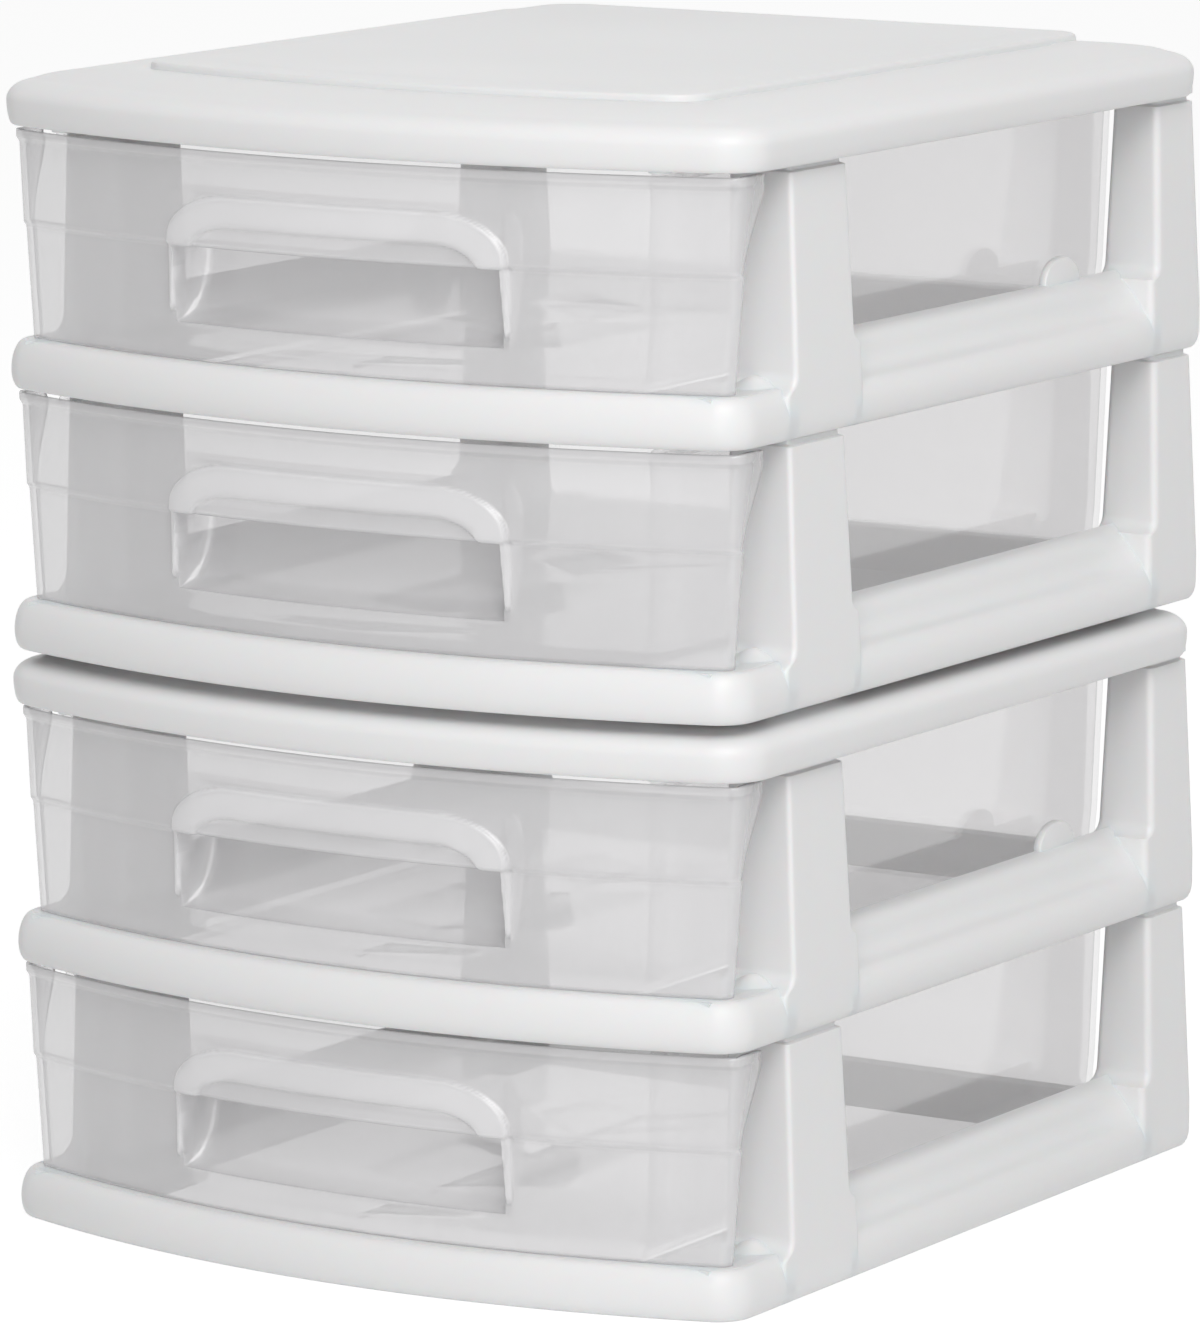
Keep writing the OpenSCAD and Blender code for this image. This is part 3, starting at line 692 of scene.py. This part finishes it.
def with_returns(p):
    """Carries the panel's rows round both side edges: a corner arc that turns from the panel's own
    slope straight back, then a return that reaches back further towards the top."""
    z = p[:, -1, 2]
    edge = p[:, -1, :2]
    slope = np.arctan2(edge[:, 1] - p[:, -2, 1], edge[:, 0] - p[:, -2, 0])
    c = edge + EDGE_R * np.stack([-np.sin(slope), np.cos(slope)], 1)
    t = np.linspace(0, 1, 8)[None, 1:]
    a = (slope - math.pi / 2)[:, None] * (1 - t)
    corner = np.stack([c[:, :1] + EDGE_R * np.cos(a), c[:, 1:] + EDGE_R * np.sin(a)], 2)
    v = share_up(z)
    reach = 0.8 + 1.2 * v + 9.0 * smooth((v - 0.45) / 0.55) ** 1.5
    u = np.linspace(0, 1, 5)[None, 1:, None]
    back = corner[:, -1:] + u * np.stack([np.zeros_like(reach), reach], 1)[:, None]
    right = np.concatenate([corner, back], 1)
    right = np.concatenate([right, np.broadcast_to(z[:, None, None], right.shape[:2] + (1,))], 2)
    left = right[:, ::-1] * np.array([-1.0, 1.0, 1.0])
    return np.concatenate([left, p, right], 1)


def scoop_back(s, x):
    """The scoop's back, which rises behind the pull from the crease and closes forward along a
    quarter round between 60 and 70 mm."""
    z = np.concatenate([np.linspace(CREASE_Z, 66, 12), np.linspace(66.5, 69.5, 6)])[:, None]
    depth = scoop_depth(CREASE_Z) + 0.2 * smooth((z - CREASE_Z) / 3)
    close = np.sqrt(np.clip(1 - (np.clip(z - 60, 0, None) / 10) ** 2, 0, 1))
    y = on_bow(x, FRONT_R - 1.2 - depth * close * scoop_side(x))
    s.grid(np.stack(np.broadcast_arrays(x, y, z), 2), milk=SCOOP_MILK)


def front_surfaces(s):
    """The front panel: one sheet below the crease that dips into the finger scoop, one above it
    with the bead and the lip, and the scoop's back."""
    x = across()[None]
    z_low = np.concatenate([np.linspace(FOOT_Z, 27.6, 9), np.linspace(SCOOP_Z, 30.4, 9),
                            np.linspace(31.2, CREASE_Z, 24)])[:, None]
    z_high = np.concatenate([np.linspace(CREASE_Z, 54, 6), np.linspace(54.6, 72, 30),
                             np.linspace(74, 79, 4), np.linspace(79.3, 81.2, 6),
                             np.linspace(81.8, RIM_Z, 4)])[:, None]
    for z, relief in ((z_low, low_relief), (z_high, pull_relief)):
        sheet = with_returns(panel_points(x, z, relief))
        fade = np.ones(sheet.shape[1])
        fade[:len(EDGE_FADE)] = EDGE_FADE
        fade[-len(EDGE_FADE):] = EDGE_FADE[::-1]
        s.grid(sheet, milk=cloudiness(sheet[..., 0], sheet[..., 2]) * fade)
    scoop_back(s, x[:, np.abs(x[0]) <= SCOOP_HW + 0.01])


def tub_rows():
    """Rows of the tub from the middle of its floor over the rounded edge and up the drafted wall
    to the flange: half width and height."""
    floor = [(0.001, FLOOR_Z), (40, FLOOR_Z), (80, FLOOR_Z), (98, FLOOR_Z)]
    edge = arc(TUB_HW_FLOOR - TUB_EDGE_R, FLOOR_Z + TUB_EDGE_R, TUB_EDGE_R, TUB_EDGE_R, 270, 362, 9)
    wall = np.stack([np.linspace(TUB_HW_FLOOR + 0.7, TUB_HW_TOP - 0.2, 8), np.linspace(30, 80.6, 8)], 1)
    flange = [(110.7, 82.6), (111.6, 83.3), (113.0, RIM_Z), (113.3, 83.2), (113.3, 81.8)]
    return np.concatenate([floor, edge, wall, flange])


def tub_surfaces(s):
    """The drawer's body as one sheet: U-shaped rows round the sides and back, whose rear corners
    turn about the same place at every height. All rows end just inside the front panel's face."""
    inside = 1.6
    w, z = tub_rows().T
    out = w - TUB_HW_TOP
    back = TUB_BACK_Y + out
    r = np.maximum(TUB_CORNER_R + out, 0.001)
    front = on_bow(w, panel_radius(z) - inside)
    t = np.linspace(0, 1, 19)[None]
    side_y = front[:, None] * (1 - t) + (back - r)[:, None] * t
    side = np.stack([np.broadcast_to(w[:, None], side_y.shape), side_y], 2)
    a = np.radians(np.linspace(0, 90, 11))[None, 1:]
    cx, cy, r = (w - r)[:, None], (back - r)[:, None], r[:, None]
    corner = np.stack([cx + r * np.cos(a), cy + r * np.sin(a)], 2)
    half = np.concatenate([side, corner], 1)
    mirror = half[:, ::-1] * np.array([-1.0, 1.0])
    u = np.linspace(0, 1, 14)[None, 1:-1, None]
    across_back = half[:, -1:] * (1 - u) + mirror[:, :1] * u
    s.grid(lift(np.concatenate([half, across_back, mirror], 1), z))


def drawer_surfaces():
    """One drawer's surfaces: the front and the tub, as sheets that get their wall afterwards."""
    s = Surfaces()
    front_surfaces(s)
    tub_surfaces(s)
    return s


# ---------------------------------------------------------------- materials


PLASTIC_IOR = 1.49


def new_material(name):
    """An empty node material, its tree, principled node and output node."""
    m = bpy.data.materials.new(name)
    m.use_nodes = True
    nt = m.node_tree
    bsdf = next(n for n in nt.nodes if n.type == "BSDF_PRINCIPLED")
    out = next(n for n in nt.nodes if n.type == "OUTPUT_MATERIAL")
    return m, nt, bsdf, out


def feed(nt, value, socket):
    """Links a socket to another node's output, or sets it where the value is a plain number."""
    if isinstance(value, bpy.types.NodeSocket):
        nt.links.new(value, socket)
    else:
        socket.default_value = value


def calculate(nt, operation, *values):
    """One step of arithmetic on plain numbers and other nodes' outputs."""
    n = nt.nodes.new("ShaderNodeMath")
    n.operation = operation
    for value, socket in zip(values, n.inputs):
        feed(nt, value, socket)
    return n.outputs[0]


def mixed_shader(nt, share, first, second):
    """Two shaders mixed: share says how much of the second one shows."""
    n = nt.nodes.new("ShaderNodeMixShader")
    feed(nt, share, n.inputs[0])
    nt.links.new(first, n.inputs[1])
    nt.links.new(second, n.inputs[2])
    return n.outputs[0]


def mixed_color(nt, share, first, second):
    """Two colours mixed: share says how much of the second one shows."""
    n = nt.nodes.new("ShaderNodeMix")
    n.data_type = "RGBA"
    n.inputs["A"].default_value = (*first, 1)
    n.inputs["B"].default_value = (*second, 1)
    nt.links.new(share, n.inputs["Factor"])
    return n.outputs["Result"]


def noise(nt, coord, scale, detail):
    """A noise texture on the object's own coordinates."""
    n = nt.nodes.new("ShaderNodeTexNoise")
    n.inputs["Scale"].default_value = scale
    n.inputs["Detail"].default_value = detail
    nt.links.new(coord, n.inputs["Vector"])
    return n.outputs[0]


def spread(nt, value, lo, hi):
    """Maps a texture's middle range to lo..hi."""
    n = nt.nodes.new("ShaderNodeMapRange")
    n.inputs["From Min"].default_value = 0.3
    n.inputs["From Max"].default_value = 0.7
    n.inputs["To Min"].default_value = lo
    n.inputs["To Max"].default_value = hi
    nt.links.new(value, n.inputs["Value"])
    return n.outputs[0]


def bumps(nt, bsdf, layers):
    """Chains bump nodes: each layer is a height, its strength and its depth in metres."""
    last = None
    for height, strength, depth in layers:
        b = nt.nodes.new("ShaderNodeBump")
        b.inputs["Strength"].default_value = strength
        b.inputs["Distance"].default_value = depth
        nt.links.new(height, b.inputs["Height"])
        if last is not None:
            nt.links.new(last, b.inputs["Normal"])
        last = b.outputs[0]
    nt.links.new(last, bsdf.inputs["Normal"])
    return last


def white_plastic(look):
    """Opaque white plastic: a satin skin with faint grain, slow colour drift and soft sink marks."""
    m, nt, bsdf, out = new_material("white_plastic")
    coord = nt.nodes.new("ShaderNodeTexCoord").outputs["Object"]
    drift = noise(nt, coord, 7.0, 3.0)
    grain = noise(nt, coord, 1400.0, 2.0)
    sink = noise(nt, coord, 16.0, 1.0)
    r, g, b = look.white_color
    color = mixed_color(nt, drift, (r * 0.985, g * 0.985, b * 0.99), (r, g, b))
    nt.links.new(color, bsdf.inputs["Base Color"])
    rough = spread(nt, drift, look.white_roughness - 0.05, look.white_roughness + 0.06)
    nt.links.new(rough, bsdf.inputs["Roughness"])
    bsdf.inputs["Specular IOR Level"].default_value = 0.42
    bsdf.inputs["Subsurface Weight"].default_value = 0.12
    bsdf.inputs["Subsurface Scale"].default_value = 0.004
    bumps(nt, bsdf, [(grain, 0.08, 0.00004), (sink, 0.10, 0.0006)])
    return m


def milky_skin(nt, bsdf, milk, look):
    """The part of the clear plastic that scatters light: a satin skin that throws it back, mixed
    with one that lets it glow through. Both darken towards the cloudiest tone."""
    tone = mixed_color(nt, milk, look.clear_skin, look.cloudy_skin)
    nt.links.new(tone, bsdf.inputs["Base Color"])
    glow = nt.nodes.new("ShaderNodeBsdfTranslucent")
    nt.links.new(tone, glow.inputs["Color"])
    return mixed_shader(nt, look.clear_glow, bsdf.outputs[0], glow.outputs[0])


def clear_sheet(nt, rough, normal, look):
    """The part of the clear plastic that lets light straight through with a faint tint. The outer
    side of each wall mirrors the room for both of its sides, 2F / (1 + F) of the light where F is
    the Fresnel share of one side; the inner side lets light out unchanged."""
    through = nt.nodes.new("ShaderNodeBsdfTransparent")
    through.inputs["Color"].default_value = (*look.clear_tint, 1)
    mirror = nt.nodes.new("ShaderNodeBsdfGlossy")
    nt.links.new(rough, mirror.inputs["Roughness"])
    fresnel = nt.nodes.new("ShaderNodeFresnel")
    fresnel.inputs["IOR"].default_value = PLASTIC_IOR
    nt.links.new(normal, fresnel.inputs["Normal"])
    one_side = fresnel.outputs[0]
    inner_side = nt.nodes.new("ShaderNodeNewGeometry").outputs["Backfacing"]
    entering = calculate(nt, "SUBTRACT", 1.0, inner_side)
    twice = calculate(nt, "MULTIPLY", one_side, 2.0)
    whole_wall = calculate(nt, "DIVIDE", twice, calculate(nt, "ADD", one_side, 1.0))
    reflected = calculate(nt, "MULTIPLY", whole_wall, entering)
    return mixed_shader(nt, reflected, through.outputs[0], mirror.outputs[0])


def scattered_share(nt, milk, normal, look):
    """How much of the light meets the milky skin: the haze of a wall, which grows at a slant, and
    the mesh's own cloudiness. Cloudy plastic scatters most light onwards, so it casts only a light
    shadow."""
    weight = nt.nodes.new("ShaderNodeLayerWeight")
    weight.inputs["Blend"].default_value = 0.28
    nt.links.new(normal, weight.inputs["Normal"])
    haze = nt.nodes.new("ShaderNodeMapRange")
    haze.inputs["To Min"].default_value = look.clear_haze
    haze.inputs["To Max"].default_value = look.clear_slant
    nt.links.new(weight.outputs["Facing"], haze.inputs["Value"])
    share = calculate(nt, "ADD", milk, haze.outputs[0])
    share.node.use_clamp = True
    shadow_ray = nt.nodes.new("ShaderNodeLightPath").outputs["Is Shadow Ray"]
    kept = calculate(nt, "MULTIPLY_ADD", shadow_ray, look.clear_shadow - 1, 1.0)
    return calculate(nt, "MULTIPLY", share, kept)


def clear_plastic(look):
    """Clear, milky plastic: part of the light passes straight through, and the rest meets a milky
    skin. The share of the skin grows at a slant and where the mesh's milk attribute says that the
    plastic is cloudier."""
    m, nt, bsdf, out = new_material("clear_plastic")
    coord = nt.nodes.new("ShaderNodeTexCoord").outputs["Object"]
    rough = spread(nt, noise(nt, coord, 11.0, 2.0), 0.05, 0.14)
    ripple = noise(nt, coord, 24.0, 1.0)
    nt.links.new(rough, bsdf.inputs["Roughness"])
    bsdf.inputs["IOR"].default_value = PLASTIC_IOR
    normal = bumps(nt, bsdf, [(ripple, 0.12, 0.0008)])
    cloud = nt.nodes.new("ShaderNodeAttribute")
    cloud.attribute_name = "milk"
    milk = cloud.outputs["Fac"]
    skin = milky_skin(nt, bsdf, milk, look)
    clear = clear_sheet(nt, rough, normal, look)
    both = mixed_shader(nt, scattered_share(nt, milk, normal, look), clear, skin)
    nt.links.new(both, out.inputs[0])
    return m


def seen_background(nt):
    """1 for rays that should see the plain white studio: camera, glossy and transmission rays."""
    ray = nt.nodes.new("ShaderNodeLightPath").outputs
    seen = calculate(nt, "MAXIMUM", ray["Is Camera Ray"], ray["Is Glossy Ray"])
    return calculate(nt, "MAXIMUM", seen, ray["Is Transmission Ray"])


def floor_material():
    """Pale floor: matt for the light it throws back, near white where it is seen, with the
    object's shadow kept."""
    m, nt, bsdf, out = new_material("floor")
    coord = nt.nodes.new("ShaderNodeTexCoord").outputs["Object"]
    nt.links.new(spread(nt, noise(nt, coord, 30.0, 2.0), 0.85, 0.95), bsdf.inputs["Roughness"])
    bsdf.inputs["Base Color"].default_value = (0.9, 0.9, 0.9, 1)
    matt = nt.nodes.new("ShaderNodeBsdfDiffuse")
    matt.inputs["Color"].default_value = (0.26, 0.26, 0.26, 1)
    glow = nt.nodes.new("ShaderNodeEmission")
    glow.inputs["Strength"].default_value = 0.87
    seen = nt.nodes.new("ShaderNodeAddShader")
    nt.links.new(matt.outputs[0], seen.inputs[0])
    nt.links.new(glow.outputs[0], seen.inputs[1])
    both = mixed_shader(nt, seen_background(nt), bsdf.outputs[0], seen.outputs[0])
    nt.links.new(both, out.inputs[0])
    return m


def finish_piece(obj, node, body, material):
    """Dresses a piece, lets it ride on its body and stand for its node."""
    obj.data.materials.clear()
    obj.data.materials.append(material)
    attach(obj, body)
    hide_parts(node)


# ---------------------------------------------------------------- add-on


class DRAWERS_PG_sizes(bpy.types.PropertyGroup):
    """Sizes of the finish that can change without the frame"""

    drawer_wall: FloatProperty(
        name="Drawer wall", description="Thickness of the clear drawers' walls", unit="LENGTH",
        default=0.002, min=0.0005, max=0.004)
    joint_line: FloatProperty(
        name="Joint line", description="Depth of the fine line where a part stands on a post",
        unit="LENGTH", default=0.0013, min=0, max=0.002)
    dome_rise: FloatProperty(
        name="Swelling", description="Height of the swelling on the ring before each front post",
        unit="LENGTH", default=0.0042, min=0, max=0.01)


class DRAWERS_PG_look(bpy.types.PropertyGroup):
    """Colours and finish of the plastics"""

    white_color: FloatVectorProperty(
        name="White", description="Colour of the white mouldings", subtype="COLOR",
        default=(0.80, 0.80, 0.80), min=0, max=1)
    white_roughness: FloatProperty(
        name="White roughness", description="How matt the white mouldings are", subtype="FACTOR",
        default=0.36, min=0.05, max=1)
    clear_skin: FloatVectorProperty(
        name="Clear skin", description="Colour of the light that the clear drawers scatter",
        subtype="COLOR", default=(0.92, 0.915, 0.925), min=0, max=1)
    cloudy_skin: FloatVectorProperty(
        name="Cloudy skin", description="Colour of the light that the cloudiest plastic scatters",
        subtype="COLOR", default=(0.87, 0.866, 0.874), min=0, max=1)
    clear_tint: FloatVectorProperty(
        name="Clear tint", description="Tint of the light that passes each wall of a drawer",
        subtype="COLOR", default=(0.945, 0.942, 0.944), min=0, max=1)
    clear_haze: FloatProperty(
        name="Clear haze", description="Share of light that a drawer's surface scatters, seen square on",
        subtype="FACTOR", default=0.022, min=0, max=1)
    clear_slant: FloatProperty(
        name="Haze at a slant", description="Share of light that a drawer's surface scatters at a slant",
        subtype="FACTOR", default=0.09, min=0, max=1)
    clear_glow: FloatProperty(
        name="Clear glow", description="Share of the scattered light that goes on through the wall",
        subtype="FACTOR", default=0.15, min=0, max=1)
    clear_shadow: FloatProperty(
        name="Clear shadow", description="How much of its cloudiness a drawer shows in its shadow",
        subtype="FACTOR", default=0.4, min=0, max=1)


class DRAWERS_PG_stage(bpy.types.PropertyGroup):
    """Light of the studio"""

    world_strength: FloatProperty(
        name="Room light", description="Strength of the even light all round", default=0.31, min=0)
    key_power: FloatProperty(
        name="Key light", description="Power of the large light in front", unit="POWER",
        default=20.0, min=0)
    side_power: FloatProperty(
        name="Side light", description="Power of the high light at the front right", unit="POWER",
        default=42.0, min=0)
    top_power: FloatProperty(
        name="Top light", description="Power of the light above", unit="POWER", default=6.0, min=0)


class DRAWERS_OT_frames(bpy.types.Operator):
    """Adds the finished surfaces of the four ring-and-post frames"""

    bl_idname = "drawers.frames"
    bl_label = "Frames"

    def execute(self, context):
        material = white_plastic(context.scene.drawers_look)
        for node, body in FRAME_BODY.items():
            surfaces = frame_surfaces("middle" in node, context.scene.drawers_sizes)
            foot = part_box(node)[0][2] / MM
            piece = surfaces.to_object("finished_" + node, foot)
            finish_piece(piece, node, body, material)
        return {"FINISHED"}


class DRAWERS_OT_covers(bpy.types.Operator):
    """Adds the finished surfaces of the two covers"""

    bl_idname = "drawers.covers"
    bl_label = "Covers"

    def execute(self, context):
        material = white_plastic(context.scene.drawers_look)
        for node, body in COVER_BODY.items():
            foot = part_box(node)[1][2] / MM - COVER_H - PANEL_RISE
            piece = cover_surfaces().to_object("finished_" + node, foot)
            finish_piece(piece, node, body, material)
        return {"FINISHED"}


class DRAWERS_OT_drawers(bpy.types.Operator):
    """Adds the finished surfaces of the four clear drawers"""

    bl_idname = "drawers.drawers"
    bl_label = "Drawers"

    def execute(self, context):
        material = clear_plastic(context.scene.drawers_look)
        for node in DRAWERS:
            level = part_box(node)[1][2] / MM - RIM_Z
            piece = drawer_surfaces().to_object("finished_" + node, level, outward=False, sharp=60)
            thick = piece.modifiers.new("thickness", "SOLIDIFY")
            thick.thickness = context.scene.drawers_sizes.drawer_wall
            thick.offset = -1
            thick.use_even_offset = False
            finish_piece(piece, node, node, material)
        return {"FINISHED"}


class DRAWERS_OT_stage(bpy.types.Operator):
    """Adds the camera, floor, world and lights"""

    bl_idname = "drawers.stage"
    bl_label = "Studio"

    def execute(self, context):
        scene = context.scene
        look = scene.drawers_stage
        camera = bpy.data.objects.new("camera", bpy.data.cameras.new("camera"))
        scene.collection.objects.link(camera)
        scene.camera = camera
        place_camera(camera)
        s = FLOOR_HALF
        mesh = bpy.data.meshes.new("floor")
        mesh.from_pydata([(-s, -s, 0), (s, -s, 0), (s, s, 0), (-s, s, 0)], [], [(0, 1, 2, 3)])
        floor = bpy.data.objects.new("floor", mesh)
        scene.collection.objects.link(floor)
        mesh.materials.append(floor_material())
        set_world(scene, look.world_strength)
        add_light(scene, "key", (1.56, -2.5, 0.85), 1.8, look.key_power)
        add_light(scene, "side", (1.4, -1.4, 2.3), 1.8, look.side_power)
        add_light(scene, "top", (0.0, 0.3, 2.6), 2.0, look.top_power)
        scene.view_settings.view_transform = "Standard"
        scene.cycles.transparent_max_bounces = 48
        return {"FINISHED"}


# Camera: bearing and height in degrees, distance and aim in metres, and where the aim lies in an
# image of that size in pixels, with the focal length in pixels too
IMAGE_W, IMAGE_H = 1200, 1340
BEARING, ELEVATION = 31.361, 8.8
DISTANCE = 2.7783
AIM = (0.0, 0.0925, 0.2056)
AIM_PIXEL = (738.33, 537.78)
FOCAL_PIXELS = 8228.25
SENSOR_MM = 36

FLOOR_HALF = 12.0
LIGHT_AIM = (0, 0, 0.2)


def place_camera(camera):
    """Turns the camera so that the aim falls on its image point, without shift."""
    az, el = math.radians(BEARING), math.radians(ELEVATION)
    back = Vector((math.sin(az) * math.cos(el), -math.cos(az) * math.cos(el), math.sin(el)))
    right = (-back).cross(Vector((0, 0, 1))).normalized()
    up = right.cross(-back)
    dx = (IMAGE_W / 2 - AIM_PIXEL[0]) / FOCAL_PIXELS
    dy = (IMAGE_H / 2 - AIM_PIXEL[1]) / FOCAL_PIXELS
    look = (-back + right * dx - up * dy).normalized()
    camera.location = Vector(AIM) + back * DISTANCE
    camera.rotation_euler = look.to_track_quat("-Z", "Y").to_euler()
    camera.data.sensor_width = SENSOR_MM
    camera.data.sensor_fit = "AUTO"
    camera.data.lens = SENSOR_MM * FOCAL_PIXELS / IMAGE_H
    camera.data.clip_end = 60


def set_world(scene, strength):
    """Even room light, with plain white where the background is seen."""
    w = bpy.data.worlds.new("world")
    scene.world = w
    w.use_nodes = True
    nt = w.node_tree
    out = next(n for n in nt.nodes if n.type == "OUTPUT_WORLD")
    soft = next(n for n in nt.nodes if n.type == "BACKGROUND")
    seen = nt.nodes.new("ShaderNodeBackground")
    for background, power in ((soft, strength), (seen, 1.0)):
        background.inputs["Color"].default_value = (1, 1, 1, 1)
        background.inputs["Strength"].default_value = power
    both = mixed_shader(nt, seen_background(nt), soft.outputs[0], seen.outputs[0])
    nt.links.new(both, out.inputs[0])


def add_light(scene, name, place, size, power):
    """A square area light that faces the tower."""
    data = bpy.data.lights.new(name, "AREA")
    data.size = size
    data.energy = power
    light = bpy.data.objects.new(name, data)
    scene.collection.objects.link(light)
    light.location = place
    light.rotation_euler = (Vector(LIGHT_AIM) - Vector(place)).to_track_quat("-Z", "Y").to_euler()


class DRAWERS_PT_panel(bpy.types.Panel):
    """Sidebar panel that lists the pieces"""

    bl_idname = "DRAWERS_PT_panel"
    bl_label = "Drawer tower"
    bl_space_type = "VIEW_3D"
    bl_region_type = "UI"
    bl_category = "Drawers"

    def draw(self, context):
        layout = self.layout
        scene = context.scene
        for settings in (scene.drawers_sizes, scene.drawers_look, scene.drawers_stage):
            box = layout.box()
            for name in settings.__annotations__:
                box.prop(settings, name)
        for op in (DRAWERS_OT_frames, DRAWERS_OT_covers, DRAWERS_OT_drawers, DRAWERS_OT_stage):
            layout.operator(op.bl_idname)


CLASSES = (DRAWERS_PG_sizes, DRAWERS_PG_look, DRAWERS_PG_stage, DRAWERS_OT_frames,
           DRAWERS_OT_covers, DRAWERS_OT_drawers, DRAWERS_OT_stage, DRAWERS_PT_panel)


def register():
    """Registers the classes and hangs the settings on the scene."""
    for c in CLASSES:
        bpy.utils.register_class(c)
    bpy.types.Scene.drawers_sizes = PointerProperty(type=DRAWERS_PG_sizes)
    bpy.types.Scene.drawers_look = PointerProperty(type=DRAWERS_PG_look)
    bpy.types.Scene.drawers_stage = PointerProperty(type=DRAWERS_PG_stage)


def unregister():
    """Takes the settings and the classes away again."""
    del bpy.types.Scene.drawers_stage
    del bpy.types.Scene.drawers_look
    del bpy.types.Scene.drawers_sizes
    for c in reversed(CLASSES):
        bpy.utils.unregister_class(c)


def main():
    """Registers the add-on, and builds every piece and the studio."""
    register()
    bpy.ops.drawers.frames()
    bpy.ops.drawers.covers()
    bpy.ops.drawers.drawers()
    bpy.ops.drawers.stage()


if __name__ == "__main__":
    main()
